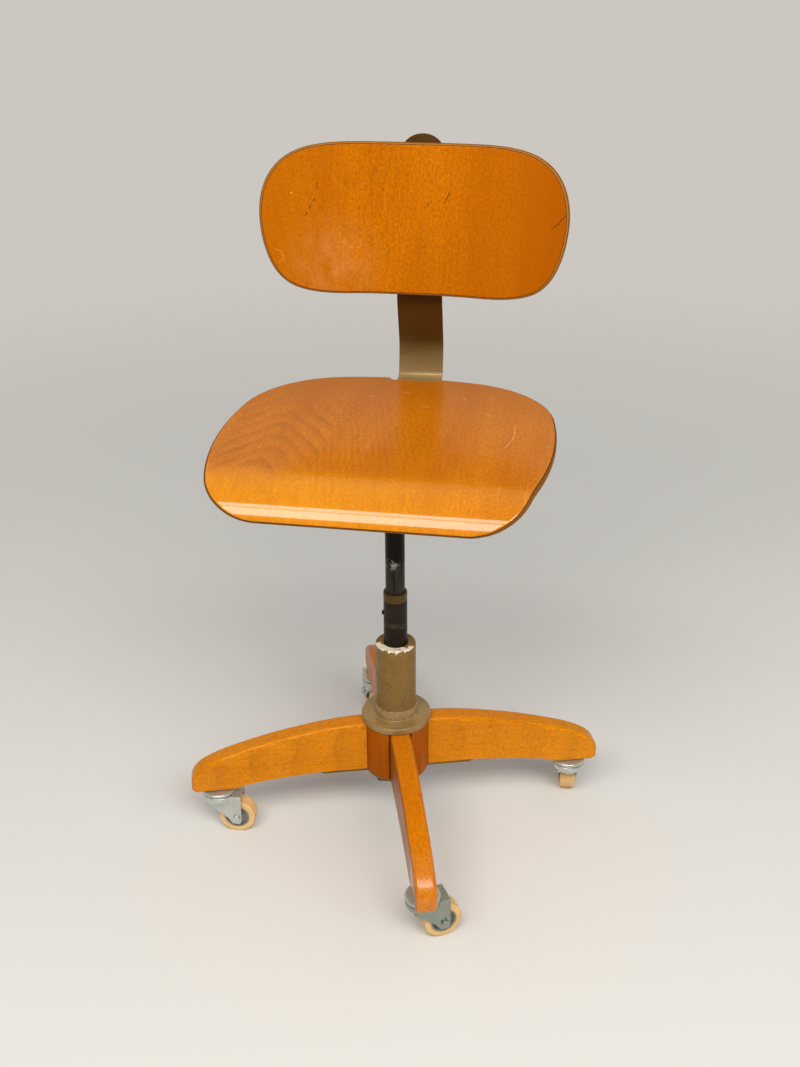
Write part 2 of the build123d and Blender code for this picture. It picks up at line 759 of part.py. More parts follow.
# Strap: flat steel bar from the guide under the seat, up behind it and behind the backrest.
strap_plane = Plane(origin=(0, strap_y, strap_z), x_dir=(1, 0, 0), z_dir=back_out)
half_bar = strap_thickness / 2
mid_y = strap_y - half_bar * back_out[1]
mid_z = strap_z - half_bar * back_out[2]
with BuildPart() as back_strap:
    with BuildSketch(Plane.YZ):
        with BuildLine() as strap_path:
            Polyline(
                (strap_front_y, strap_mid_z),
                (strap_foot_y + half_bar, strap_mid_z),
                (strap_bow_y + half_bar, strap_bow_z),
                (mid_y - strap_knee_below * back_up[1], mid_z - strap_knee_below * back_up[2]),
                (mid_y + strap_top_above * back_up[1], mid_z + strap_top_above * back_up[2]),
            )
            fillet(strap_path.vertices().sort_by(Axis.Y)[-2], strap_knee_radius)
            fillet(strap_path.vertices().group_by(Axis.Y)[1], strap_bow_radius)
            fillet(strap_path.vertices().group_by(Axis.Y)[0].sort_by(Axis.X)[-1], strap_bend_radius)
        trace(line_width=strap_thickness)
    extrude(amount=strap_width / 2, both=True)
    top_corners = back_strap.edges().filter_by(
        lambda edge: abs(edge.length - strap_thickness) < 0.01
    )
    fillet(top_corners.sort_by(Axis.Z)[-2:], strap_end_round)
    with BuildSketch(strap_plane):
        with Locations((0, (height_travel_up - height_travel_down) / 2)):
            SlotOverall(
                height_travel_up + height_travel_down + key_length + 2, back_slot_width, rotation=90
            )
    extrude(amount=strap_thickness * 2, both=True, mode=Mode.SUBTRACT)
    slot_y = guide_y + (depth_travel_front - depth_travel_rear) / 2
    slot_length = depth_travel_front + depth_travel_rear + 2 * clamp_bolt_radius + 3
    with BuildSketch(Plane(origin=(0, slot_y, strap_mid_z), z_dir=(0, 0, 1))):
        SlotOverall(slot_length, 2 * clamp_bolt_radius + 2 * free_gap, rotation=90)
    extrude(amount=strap_thickness, both=True, mode=Mode.SUBTRACT)
back_strap.part.label = "back_strap"
export_step(back_strap.part, "parts/back_strap.step")

# Carriage that slides on the strap and carries the pivot of the backrest.
with BuildPart() as back_carriage:
    with BuildSketch(strap_plane.offset(sliding_gap)):
        Rectangle(carriage_width, carriage_height)
    extrude(amount=carriage_base - sliding_gap)
    lug_plane = Plane(origin=(0, strap_y, strap_z), x_dir=back_up, z_dir=(1, 0, 0))
    with BuildSketch(lug_plane):
        with Locations((0, pivot_from_strap)):
            Circle(lug_radius)
        with Locations((0, (pivot_from_strap + carriage_base) / 2)):
            Rectangle(2 * lug_radius, pivot_from_strap - carriage_base + 0.4)
        with Locations((0, pivot_from_strap)):
            Circle(pivot_radius, mode=Mode.SUBTRACT)
    extrude(amount=carriage_width / 2, both=True)
    with BuildSketch(strap_plane.offset(sliding_gap)):
        SlotOverall(key_length, back_slot_width - 2 * sliding_gap, rotation=90)
    extrude(amount=-strap_thickness)
    with BuildSketch(strap_plane.offset(carriage_base - 0.4)):
        Circle(clamp_bolt_radius)
    extrude(amount=-strap_thickness * 3, mode=Mode.SUBTRACT)
back_carriage.part.label = "back_carriage"
export_step(back_carriage.part, "parts/back_carriage.step")

# Stud of the carriage, on which the rear knob turns.
washer_front = -strap_thickness - sliding_gap
back_knob_front = washer_front - washer_height - thrust_gap
with BuildPart() as back_stud:
    with BuildSketch(strap_plane.offset(carriage_base - 0.4)):
        Circle(clamp_bolt_radius)
    extrude(amount=-(carriage_base - 0.4 - back_knob_front + knob_height - knob_floor - 1))
back_stud.part.label = "back_stud"
export_step(back_stud.part, "parts/back_stud.step")

# Washer between the strap and the rear knob.
with BuildPart() as back_washer:
    with BuildSketch(strap_plane.offset(washer_front)):
        Circle(washer_radius)
        Circle(clamp_bolt_radius, mode=Mode.SUBTRACT)
    extrude(amount=-washer_height)
back_washer.part.label = "back_washer"
export_step(back_washer.part, "parts/back_washer.step")

# Knob that clamps the backrest at the chosen height.
with BuildPart() as back_knob:
    with BuildSketch(strap_plane.offset(back_knob_front)):
        Circle(knob_skirt_radius)
    extrude(amount=-knob_skirt_height)
    with BuildSketch(strap_plane.offset(back_knob_front - knob_skirt_height)):
        Circle(knob_radius)
        with PolarLocations(knob_radius + knob_scallop_out, knob_scallops):
            Circle(knob_scallop_radius, mode=Mode.SUBTRACT)
    extrude(amount=-(knob_height - knob_skirt_height))
    fillet(back_knob.faces().sort_by(Axis.Y)[-1].edges(), knob_edge_round)
    with BuildSketch(strap_plane.offset(back_knob_front)):
        Circle(clamp_bolt_radius + running_fit)
    extrude(amount=-(knob_height - knob_floor), mode=Mode.SUBTRACT)
back_knob.part.label = "back_knob"
export_step(back_knob.part, "parts/back_knob.step")

# Pivot pin, riveted over at both ends outside the ears of the bracket.
ear_inner = carriage_width / 2 + free_gap
ear_outer = ear_inner + ear_thickness
pin_head = ear_outer + sliding_gap
pin_plane_back = Plane(
    origin=(
        0,
        strap_y + pivot_from_strap * back_out[1],
        strap_z + pivot_from_strap * back_out[2],
    ),
    x_dir=back_up,
    z_dir=(1, 0, 0),
)
with BuildPart() as pivot_pin:
    with BuildSketch(pin_plane_back):
        Circle(pivot_radius)
    extrude(amount=pin_head + pivot_head_height, both=True)
    with BuildSketch(pin_plane_back.offset(pin_head), pin_plane_back.offset(-pin_head - pivot_head_height)):
        Circle(pivot_head_radius)
    extrude(amount=pivot_head_height)
pivot_pin.part.label = "pivot_pin"
export_step(pivot_pin.part, "parts/pivot_pin.step")

# Planes of the backrest: its front face, and the axis it is bent round.
back_plane = Plane(origin=(0, back_y, back_z), x_dir=(1, 0, 0), z_dir=back_out)
axis_plane = Plane(
    origin=(0, back_y + back_radius * back_out[1], back_z + back_radius * back_out[2]),
    x_dir=(1, 0, 0),
    z_dir=back_up,
)
screw_spots = [(side * bracket_screw_x, end * bracket_screw_u) for side in (-1, 1) for end in (-1, 1)]
bracket_back = -ply - bracket_thickness
seat_of_screw = bracket_back + spot_face_depth
screw_end = seat_of_screw + bracket_thickness + bracket_screw_depth

# Bracket on the back of the backrest, with two ears for the pivot pin.
with BuildPart() as back_bracket:
    with BuildSketch(axis_plane):
        Circle(back_radius + ply + bracket_thickness)
        Circle(back_radius + ply, mode=Mode.SUBTRACT)
    extrude(amount=bracket_height / 2, both=True)
    with BuildSketch(back_plane):
        RectangleRounded(bracket_width, bracket_height, 8)
        Rectangle(2 * ear_inner, 2 * lug_radius + 6, mode=Mode.SUBTRACT)
    extrude(amount=2 * (ply + bracket_thickness), both=True, mode=Mode.INTERSECT)
    for side in (-1, 1):
        ear_plane = Plane(
            origin=(
                side * (ear_inner + ear_thickness / 2),
                strap_y + pivot_from_strap * back_out[1],
                strap_z + pivot_from_strap * back_out[2],
            ),
            x_dir=back_up,
            z_dir=(1, 0, 0),
        )
        ear_reach = back_gap - pivot_from_strap - 1.2
        with BuildSketch(ear_plane):
            Circle(lug_radius)
            with Locations((0, ear_reach / 2)):
                Rectangle(2 * lug_radius, ear_reach)
            Circle(pivot_radius + running_fit, mode=Mode.SUBTRACT)
        extrude(amount=ear_thickness / 2, both=True)
    with BuildSketch(back_plane.offset(seat_of_screw)):
        with Locations(*screw_spots):
            Circle(bracket_screw_head_radius + free_gap)
    extrude(amount=-10, mode=Mode.SUBTRACT)
    with BuildSketch(back_plane):
        with Locations(*screw_spots):
            Circle(bracket_screw_radius + free_gap / 2)
    extrude(amount=-ply - 10, mode=Mode.SUBTRACT)
back_bracket.part.label = "back_bracket"
export_step(back_bracket.part, "parts/back_bracket.step")

# Wood screws that hold the bracket to the backrest.
with BuildPart() as back_screws:
    with BuildSketch(back_plane.offset(seat_of_screw)):
        with Locations(*screw_spots):
            Circle(bracket_screw_radius)
    extrude(amount=screw_end - seat_of_screw)
    with BuildSketch(back_plane.offset(seat_of_screw)):
        with Locations(*screw_spots):
            Circle(bracket_screw_head_radius)
    extrude(amount=-bracket_screw_head_height)
back_screws.part.label = "back_screws"
export_step(back_screws.part, "parts/back_screws.step")

# Backrest: moulded plywood, curved round the sitter.
back_points = []
for flatness, way in ((back_top_flatness, 1), (back_foot_flatness, -1)):
    quarter = []
    for share in back_end_shares:
        quarter.append(((1 - share**back_end_roundness) ** (1 / flatness), share))
    for share in back_edge_shares:
        quarter.append((share, (1 - share**flatness) ** (1 / back_end_roundness)))
    far_quarter = [(-side, up) for side, up in reversed(quarter[1:-1])]
    for side, up in quarter + far_quarter:
        half = (back_width + back_flare * way * up) / 2
        back_points.append((back_shift_x + way * side * half, way * up * back_height / 2))
with BuildPart() as back_shell:
    with BuildSketch(axis_plane):
        Circle(back_radius + ply)
        Circle(back_radius, mode=Mode.SUBTRACT)
    extrude(amount=back_height, both=True)
    with BuildSketch(back_plane):
        with BuildLine():
            Spline(*back_points, periodic=True)
        make_face()
    extrude(amount=60, both=True, mode=Mode.INTERSECT)
    fillet(back_shell.edges().filter_by(lambda edge: edge.length > 12), ply_round)
    with BuildSketch(back_plane.offset(screw_end)):
        with Locations(*screw_spots):
            Circle(bracket_screw_radius)
    extrude(amount=-ply - 10, mode=Mode.SUBTRACT)
back_shell.part.label = "back_shell"
export_step(back_shell.part, "parts/back_shell.step")

# Caster tops: disc with a rolled lip, stem pressed into the leg, and the kingpin that keeps the fork on.
with BuildPart() as caster_stems:
    for leg_name, leg_turn in legs:
        heading = radians(base_yaw + leg_turn)
        spot_x = caster_circle * sin(heading)
        spot_y = -caster_circle * cos(heading)
        with BuildSketch(
            Plane(origin=(spot_x, spot_y, 0), x_dir=(1, 0, 0), z_dir=(0, -1, 0))
        ) as disc_half:
            with BuildLine():
                Polyline(
                    (0, leg_foot_z),
                    (caster_disc_radius, leg_foot_z),
                    (caster_disc_radius, lip_foot_z),
                    (caster_disc_radius - lip_width, lip_foot_z),
                    (caster_disc_radius - lip_width, disc_under_z),
                    (0, disc_under_z),
                    close=True,
                )
            make_face()
            fillet(disc_half.vertices().sort_by(Axis.X)[-2:], lip_round)
        revolve(axis=Axis((spot_x, spot_y, 0), (0, 0, 1)))
        with BuildSketch(Plane(origin=(spot_x, spot_y, leg_foot_z), z_dir=(0, 0, 1))):
            Circle(caster_stem_radius)
        extrude(amount=caster_stem_length)
        with BuildSketch(Plane(origin=(spot_x, spot_y, disc_under_z), z_dir=(0, 0, 1))):
            Circle(kingpin_radius)
        extrude(amount=-(disc_under_z - crown_under_z + thrust_gap + kingpin_head_height))
        with BuildSketch(Plane(origin=(spot_x, spot_y, crown_under_z - thrust_gap), z_dir=(0, 0, 1))):
            Circle(kingpin_head_radius)
        extrude(amount=-kingpin_head_height)
caster_stems.part.label = "caster_stems"
export_step(caster_stems.part, "parts/caster_stems.step")

# Bearing rings between the discs and the forks.
with BuildPart() as caster_races:
    for leg_name, leg_turn in legs:
        heading = radians(base_yaw + leg_turn)
        spot_x = caster_circle * sin(heading)
        spot_y = -caster_circle * cos(heading)
        with BuildSketch(Plane(origin=(spot_x, spot_y, disc_under_z), z_dir=(0, 0, 1))):
            Circle(race_radius)
            Circle(kingpin_radius + free_gap, mode=Mode.SUBTRACT)
        extrude(amount=-(disc_under_z - crown_top_z - thrust_gap))
caster_races.part.label = "caster_races"
export_step(caster_races.part, "parts/caster_races.step")

# Forks, axles, wheels and tyres of the four casters, each turned as it stands.
for leg_name, leg_turn in legs:
    heading = radians(base_yaw + leg_turn)
    spot_x = caster_circle * sin(heading)
    spot_y = -caster_circle * cos(heading)
    swing_turn = radians(caster_turn[leg_name])
    back_x = sin(swing_turn)
    back_dir_y = -cos(swing_turn)
    axle_dir = (back_dir_y, -back_x, 0)
    crown_plane = Plane(
        origin=(spot_x, spot_y, crown_under_z), x_dir=(back_x, back_dir_y, 0), z_dir=(0, 0, 1)
    )
    cheek_plane = Plane(origin=(spot_x, spot_y, 0), x_dir=(back_x, back_dir_y, 0), z_dir=axle_dir)
    wheel_plane = Plane(
        origin=(spot_x + trail * back_x, spot_y + trail * back_dir_y, wheel_radius),
        x_dir=(back_x, back_dir_y, 0),
        z_dir=axle_dir,
    )

    with BuildPart() as fork:
        with BuildSketch(cheek_plane) as cheek:
            with BuildLine():
                Polyline(
                    (-crown_radius + 5, crown_under_z + 0.2),
                    (fork_reach, crown_under_z + 0.2),
                    (fork_reach, wheel_radius - 4),
                    (trail + 4, wheel_radius - 9),
                    (trail - 5, wheel_radius - 8),
                    (trail - 11, wheel_radius + 1),
                    (-crown_radius + 5, cheek_rear_z),
                    close=True,
                )
            make_face()
            fillet(cheek.vertices().sort_by(Axis.Y)[:4], cheek_round)
        extrude(amount=fork_outer, both=True)
        with BuildSketch(cheek_plane):
            with Locations((trail, wheel_radius)):
                Rectangle(4 * fork_reach, 2 * (crown_under_z - wheel_radius))
        extrude(amount=fork_inner, both=True, mode=Mode.SUBTRACT)
        with BuildSketch(crown_plane):
            with Locations((fork_reach / 2, 0)):
                Rectangle(fork_reach, 2 * fork_outer)
        extrude(amount=crown_thickness)
        with BuildSketch(cheek_plane) as bowl_half:
            with BuildLine():
                Polyline(
                    (0, crown_top_z),
                    (crown_radius, crown_top_z),
                    (crown_radius, bowl_foot_z),
                    (bowl_mouth, bowl_foot_z),
                    (bowl_mouth, bowl_foot_z + bowl_wall),
                    (crown_radius - bowl_wall, bowl_foot_z + bowl_wall),
                    (crown_radius - bowl_wall, crown_under_z),
                    (0, crown_under_z),
                    close=True,
                )
            make_face()
            fillet(bowl_half.vertices().sort_by(lambda spot: spot.X + spot.Y)[-1], crown_edge_round)
            fillet(bowl_half.vertices().sort_by(lambda spot: spot.X - spot.Y)[-1], bowl_round)
            inner_corner = bowl_half.vertices().sort_by_distance(
                (crown_radius - bowl_wall, bowl_foot_z + bowl_wall, 0)
            )[0]
            fillet(inner_corner, bowl_round - bowl_wall)
        revolve(axis=Axis((spot_x, spot_y, 0), (0, 0, 1)))
        with BuildSketch(wheel_plane):
            Circle(wheel_radius + wheel_side_gap)
        extrude(amount=fork_inner, both=True, mode=Mode.SUBTRACT)
        with BuildSketch(crown_plane):
            Circle(kingpin_radius + running_fit)
        extrude(amount=crown_thickness, mode=Mode.SUBTRACT)
        with BuildSketch(wheel_plane):
            Circle(axle_radius)
        extrude(amount=fork_outer + 1, both=True, mode=Mode.SUBTRACT)
    fork.part.label = "fork_" + leg_name
    export_step(fork.part, "parts/fork_" + leg_name + ".step")

    with BuildPart() as axle:
        with BuildSketch(wheel_plane):
            Circle(axle_radius)
        extrude(amount=fork_outer + axle_head_height, both=True)
        with BuildSketch(
            wheel_plane.offset(fork_outer), wheel_plane.offset(-fork_outer - axle_head_height)
        ):
            Circle(axle_head_radius)
        extrude(amount=axle_head_height)
    axle.part.label = "axle_" + leg_name
    export_step(axle.part, "parts/axle_" + leg_name + ".step")

    with BuildPart() as wheel_core:
        with BuildSketch(wheel_plane):
            Circle(core_radius)
        extrude(amount=core_web / 2, both=True)
        with BuildSketch(wheel_plane):
            Circle(core_radius)
            Circle(core_radius - core_rim, mode=Mode.SUBTRACT)
        extrude(amount=wheel_width / 2 - 1, both=True)
        with BuildSketch(wheel_plane):
            Circle(core_hub_radius)
        extrude(amount=wheel_width / 2, both=True)
        with BuildSketch(wheel_plane):
            Circle(axle_radius + running_fit)
        extrude(amount=wheel_width, both=True, mode=Mode.SUBTRACT)
    wheel_core.part.label = "wheel_core_" + leg_name
    export_step(wheel_core.part, "parts/wheel_core_" + leg_name + ".step")

    with BuildPart() as tyre:
        with BuildSketch(wheel_plane):
            Circle(wheel_radius)
            Circle(core_radius, mode=Mode.SUBTRACT)
        extrude(amount=wheel_width / 2 - 0.5, both=True)
        tread_rims = tyre.edges().filter_by(GeomType.CIRCLE).filter_by(
            lambda rim: rim.radius > wheel_radius - 0.1
        )
        fillet(tread_rims, tyre_round)
    tyre.part.label = "tyre_" + leg_name
    export_step(tyre.part, "parts/tyre_" + leg_name + ".step")
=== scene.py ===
"""Swivel chair with a moulded plywood seat and backrest: the looks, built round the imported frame.

Metres. The origin is on the column axis at the floor, +Z is up and the sitter faces -Y.
"""

import json
from math import atan2, pi, radians

import bmesh
import bpy
from mathutils import Matrix, Vector


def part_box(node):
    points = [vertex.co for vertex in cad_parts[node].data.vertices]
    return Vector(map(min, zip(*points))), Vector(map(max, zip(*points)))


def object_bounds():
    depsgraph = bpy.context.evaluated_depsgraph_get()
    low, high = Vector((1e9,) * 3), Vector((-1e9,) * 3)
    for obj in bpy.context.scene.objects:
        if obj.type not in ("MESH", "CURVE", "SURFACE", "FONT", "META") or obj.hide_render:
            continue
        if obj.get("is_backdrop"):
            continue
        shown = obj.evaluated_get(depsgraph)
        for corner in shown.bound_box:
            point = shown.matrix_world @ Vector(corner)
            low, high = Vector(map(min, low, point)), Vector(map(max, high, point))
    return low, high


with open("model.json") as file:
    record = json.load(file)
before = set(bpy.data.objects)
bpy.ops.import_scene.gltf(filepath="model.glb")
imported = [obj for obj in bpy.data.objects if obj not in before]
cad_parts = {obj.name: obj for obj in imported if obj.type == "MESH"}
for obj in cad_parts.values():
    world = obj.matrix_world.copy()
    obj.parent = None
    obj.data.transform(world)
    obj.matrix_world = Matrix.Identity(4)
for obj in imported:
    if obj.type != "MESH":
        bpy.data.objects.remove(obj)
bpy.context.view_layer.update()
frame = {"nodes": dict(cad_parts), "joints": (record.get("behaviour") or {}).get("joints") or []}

# Studio: a plain pale floor that fades into an equally pale view all round and is clear from below. Gloss
# shows a warm wall behind the chair and a dim room before it. Two long soft boxes hang overhead, a wider
# one stands on the right, and the camera is where the photograph was taken, as fitted to its outlines.
scene = bpy.context.scene
scene.view_settings.view_transform = "Standard"


def add(tree, kind, inputs=None, **settings):
    """Adds a shader node. Inputs maps a socket to a value, or to another node's output."""
    made = tree.nodes.new(kind)
    for key, value in settings.items():
        setattr(made, key, value)
    for key, value in (inputs or {}).items():
        if isinstance(value, bpy.types.NodeSocket):
            tree.links.new(value, made.inputs[key])
        else:
            made.inputs[key].default_value = value
    return made


def blank_material(name):
    """An empty node material, its tree and its output node."""
    material = bpy.data.materials.new(name)
    material.use_nodes = True
    material.node_tree.nodes.clear()
    return material, material.node_tree, add(material.node_tree, "ShaderNodeOutputMaterial")


def object_place(tree):
    """Where a point of a piece lies in the shared frame."""
    return add(tree, "ShaderNodeTexCoord").outputs["Object"]


def calc(tree, operation, *values):
    """The output of a Math node on numbers or sockets."""
    made = add(tree, "ShaderNodeMath", dict(enumerate(values)), operation=operation)
    return made.outputs[0]


def mixed(tree, factor, first, second):
    """The colour that lies between two colours by a factor."""
    made = add(tree, "ShaderNodeMix", {0: factor, 6: first, 7: second}, data_type="RGBA")
    return made.outputs[2]


def spread(tree, value, low, high, to_low=0.0, to_high=1.0):
    """A value moved from one range into another, and kept in it."""
    made = add(
        tree, "ShaderNodeMapRange",
        {"Value": value, "From Min": low, "From Max": high, "To Min": to_low, "To Max": to_high},
    )
    return made.outputs[0]


def between_shaders(tree, factor, first, second):
    """A shader node that goes from the first to the second by a factor."""
    return add(tree, "ShaderNodeMixShader", {0: factor, 1: first.outputs[0], 2: second.outputs[0]})


camera_place = Vector((0.2273, -1.2930, 1.0760))
camera_right = Vector((0.9861, 0.1659, -0.0054))
camera_up = Vector((-0.0713, 0.4527, 0.8888))
photo_height = 1067
focal_pixels = 1288.9
camera_data = bpy.data.cameras.new("camera")
camera_data.sensor_width = 36.0
camera_data.lens = focal_pixels / photo_height * camera_data.sensor_width
camera_back = camera_right.cross(camera_up).normalized()
camera_turn = Matrix((camera_right, camera_up, camera_back)).transposed().to_4x4()
camera = bpy.data.objects.new("camera", camera_data)
camera.matrix_world = Matrix.Translation(camera_place) @ camera_turn
scene.collection.objects.link(camera)
scene.camera = camera

floor_half = 30.0
fade_start = 0.6
fade_end = 2.6
floor_tone = (0.72, 0.70, 0.66, 1)
pale_room = (0.60, 0.575, 0.53, 1)
floor_shape = bmesh.new()
bmesh.ops.create_grid(floor_shape, x_segments=1, y_segments=1, size=floor_half)
floor_mesh = bpy.data.meshes.new("floor")
floor_shape.to_mesh(floor_mesh)
floor_shape.free()
floor = bpy.data.objects.new("floor", floor_mesh)
scene.collection.objects.link(floor)
floor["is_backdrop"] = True
floor_material, tree, output = blank_material("floor")
speckle = add(tree, "ShaderNodeTexNoise", {"Scale": 9.0, "Detail": 4.0}).outputs[0]
floor_colour = mixed(tree, spread(tree, speckle, 0.0, 1.0, 0.93, 1.0), (0, 0, 0, 1), floor_tone)
matte = add(tree, "ShaderNodeBsdfDiffuse", {"Color": floor_colour})
away = add(tree, "ShaderNodeVectorMath", {0: object_place(tree)}, operation="LENGTH").outputs["Value"]
far = add(
    tree, "ShaderNodeMapRange", {"Value": away, "From Min": fade_start, "From Max": fade_end},
    interpolation_type="SMOOTHSTEP",
).outputs[0]
looked_at = add(tree, "ShaderNodeLightPath").outputs["Is Camera Ray"]
pale_ground = add(tree, "ShaderNodeEmission", {"Color": pale_room, "Strength": 1.0})
ground = between_shaders(tree, calc(tree, "MULTIPLY", far, looked_at), matte, pale_ground)
from_below = add(tree, "ShaderNodeNewGeometry").outputs["Backfacing"]
sided = between_shaders(tree, from_below, ground, add(tree, "ShaderNodeBsdfTransparent"))
tree.links.new(sided.outputs[0], output.inputs["Surface"])
floor_mesh.materials.append(floor_material)

room_light = 0.46
room_light_tone = (0.96, 0.98, 1.0, 1)
dim_room = (0.10, 0.09, 0.08, 1)
warm_wall = (0.70, 0.62, 0.48, 1)
world = bpy.data.worlds.new("studio")
world.use_nodes = True
scene.world = world
sky = world.node_tree
sky.nodes.clear()
seen = add(sky, "ShaderNodeLightPath")
ambient = add(sky, "ShaderNodeBackground", {"Color": room_light_tone, "Strength": room_light})
way = add(sky, "ShaderNodeSeparateXYZ", {0: add(sky, "ShaderNodeTexCoord").outputs["Generated"]})
wall_tone = mixed(sky, spread(sky, way.outputs[1], -0.5, 0.4), dim_room, warm_wall)
wall_light = spread(sky, way.outputs[2], 0.33, 0.41, 0.5, 1.0)
wall = add(sky, "ShaderNodeBackground", {"Color": wall_tone, "Strength": wall_light})
plain_view = add(sky, "ShaderNodeBackground", {"Color": pale_room, "Strength": 1.0})
in_gloss = between_shaders(sky, seen.outputs["Is Glossy Ray"], ambient, wall)
shown = between_shaders(sky, seen.outputs["Is Camera Ray"], in_gloss, plain_view)
sky_output = add(sky, "ShaderNodeOutputWorld")
sky.links.new(shown.outputs[0], sky_output.inputs["Surface"])


def soft_box(name, place, width, depth, watts, colour, mirrored):
    """A rectangular area lamp at place, pointed at the seat. Gloss shows it only if it is mirrored."""
    lamp = bpy.data.lights.new(name, "AREA")
    lamp.shape = "RECTANGLE"
    lamp.size = width
    lamp.size_y = depth
    lamp.energy = watts
    lamp.color = colour
    lamp_object = bpy.data.objects.new(name, lamp)
    lamp_object.location = place
    lamp_object.rotation_euler = (seat_centre - Vector(place)).to_track_quat("-Z", "Y").to_euler()
    lamp_object.visible_glossy = mirrored
    scene.collection.objects.link(lamp_object)


seat_centre = Vector((0.0, 0.0, 0.5))
lamp_tone = (1.0, 0.97, 0.92)
window_tone = (1.0, 0.99, 0.97)
soft_box(
    "overhead_front", (0.1, -1.70, 2.12), width=2.6, depth=0.60, watts=43.0, colour=lamp_tone, mirrored=True
)
soft_box(
    "overhead_rear", (0.1, -1.29, 2.37), width=2.6, depth=0.24, watts=15.0, colour=lamp_tone, mirrored=True
)
soft_box(
    "window", (1.9, -1.7, 1.8), width=1.8, depth=1.4, watts=20.5, colour=window_tone, mirrored=False
)

# Cross plate: flat steel under the hub in the column's olive enamel, its four arms screwed up into the legs
# with plain steel screws that have round, slotted heads. A nut, painted black, clamps the column to it.
FLOAT = "NodeSocketFloat"
VECTOR = "NodeSocketVector"


def new_group(name, inputs, outputs):
    """A shader node group with float or vector sockets; gives the group, its input and output node."""
    group = bpy.data.node_groups.new(name, "ShaderNodeTree")
    for label, kind, start in inputs:
        socket = group.interface.new_socket(label, in_out="INPUT", socket_type=kind)
        socket.default_value = start
    for label, kind in outputs:
        group.interface.new_socket(label, in_out="OUTPUT", socket_type=kind)
    return group, add(group, "NodeGroupInput"), add(group, "NodeGroupOutput")


def noise(tree, vector, scale, detail=2.0, rough=0.5):
    """The grey value of a noise pattern."""
    made = add(
        tree, "ShaderNodeTexNoise",
        {"Vector": vector, "Scale": scale, "Detail": detail, "Roughness": rough},
    )
    return made.outputs[0]


wear_group, enter, leave = new_group(
    "surface_wear",
    [("Vector", VECTOR, (0, 0, 0)), ("Size", FLOAT, 60.0)],
    [("Mottle", FLOAT), ("Specks", FLOAT), ("Scratches", FLOAT)],
)
cloud = noise(wear_group, enter.outputs["Vector"], enter.outputs["Size"], 5.0, 0.6)
grit_scale = calc(wear_group, "MULTIPLY", enter.outputs["Size"], 12.0)
grit = noise(wear_group, enter.outputs["Vector"], grit_scale)
drawn_out = add(
    wear_group, "ShaderNodeMapping",
    {"Vector": enter.outputs["Vector"], "Rotation": (0.3, 0.5, 0.7), "Scale": (1.0, 0.06, 1.0)},
)
hair_scale = calc(wear_group, "MULTIPLY", enter.outputs["Size"], 7.0)
hair = noise(wear_group, drawn_out.outputs[0], hair_scale, 3.0, 0.6)
for label, value, low, high in (
    ("Mottle", cloud, 0.3, 0.7), ("Specks", grit, 0.68, 0.76), ("Scratches", hair, 0.66, 0.74),
):
    wear_group.links.new(spread(wear_group, value, low, high), leave.inputs[label])


def wear_on(tree, place, size):
    """The node that holds the masks of wear over a place vector; a larger size is a finer pattern."""
    return add(tree, "ShaderNodeGroup", {"Vector": place, "Size": size}, node_tree=wear_group)


def shaded(tone, share):
    """A share of a colour, with its alpha."""
    return (*[part * share for part in tone], 1)


def tinted(tree, colour, mask, share, tone):
    """A colour that takes on a tone where a mask is, by a share at most."""
    return mixed(tree, calc(tree, "MULTIPLY", mask, share), colour, tone)


def broken_gloss(tree, wear, smooth, rough):
    """A roughness that wanders between two values with the clouds of the wear."""
    return spread(tree, wear.outputs["Mottle"], 0.0, 1.0, smooth, rough)


def bumped(tree, height, strength, distance):
    """The normal of a surface that is uneven by a height."""
    made = add(tree, "ShaderNodeBump", {"Strength": strength, "Distance": distance, "Height": height})
    return made.outputs[0]


def surfaced(tree, output, inputs):
    """Ends a material in its shader."""
    shader = add(tree, "ShaderNodeBsdfPrincipled", inputs)
    tree.links.new(shader.outputs[0], output.inputs["Surface"])


def worn_finish(name, clean, dirty, metallic, smooth, rough, size=60.0, scratch=None):
    """A worn finish: two tones in clouds, dark specks, fine scratches and a broken gloss."""
    made, tree, output = blank_material(name)
    wear = wear_on(tree, object_place(tree), size)
    colour = mixed(tree, wear.outputs["Mottle"], (*clean, 1), (*dirty, 1))
    colour = tinted(tree, colour, wear.outputs["Specks"], 0.6, shaded(dirty, 0.35))
    colour = tinted(tree, colour, wear.outputs["Scratches"], 0.5, (*(scratch or clean), 1))
    surfaced(tree, output, {
        "Base Color": colour, "Metallic": metallic, "Specular IOR Level": 0.25,
        "Roughness": broken_gloss(tree, wear, smooth, rough),
        "Normal": bumped(tree, wear.outputs["Mottle"], 0.08, 0.0004),
    })
    return made


def enamel(name, clean, dirty, coat=0.0, marked=None):
    """Olive enamel in two tones, pitted and specked. Marked is a function that adds a piece's own wear."""
    made, tree, output = blank_material(name)
    place = object_place(tree)
    wear = wear_on(tree, place, 45.0)
    colour = mixed(tree, wear.outputs["Mottle"], (*clean, 1), (*dirty, 1))
    pits = noise(tree, place, 380.0, 2.0, 0.6)
    colour = mixed(tree, spread(tree, pits, 0.40, 0.66, 0.0, 0.36), colour, shaded(dirty, 0.55))
    colour = tinted(tree, colour, wear.outputs["Specks"], 0.7, shaded(dirty, 0.25))
    if marked:
        colour = marked(tree, place, colour)
    surfaced(tree, output, {
        "Base Color": colour, "Specular IOR Level": 0.2, "Coat Weight": coat, "Coat Roughness": 0.18,
        "Roughness": broken_gloss(tree, wear, 0.33, 0.5),
        "Normal": bumped(tree, wear.outputs["Mottle"], 0.06, 0.0004),
    })
    return made


def give_finish(material, *names):
    """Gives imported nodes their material."""
    for node_name in names:
        node_mesh = frame["nodes"][node_name].data
        node_mesh.materials.clear()
        node_mesh.materials.append(material)


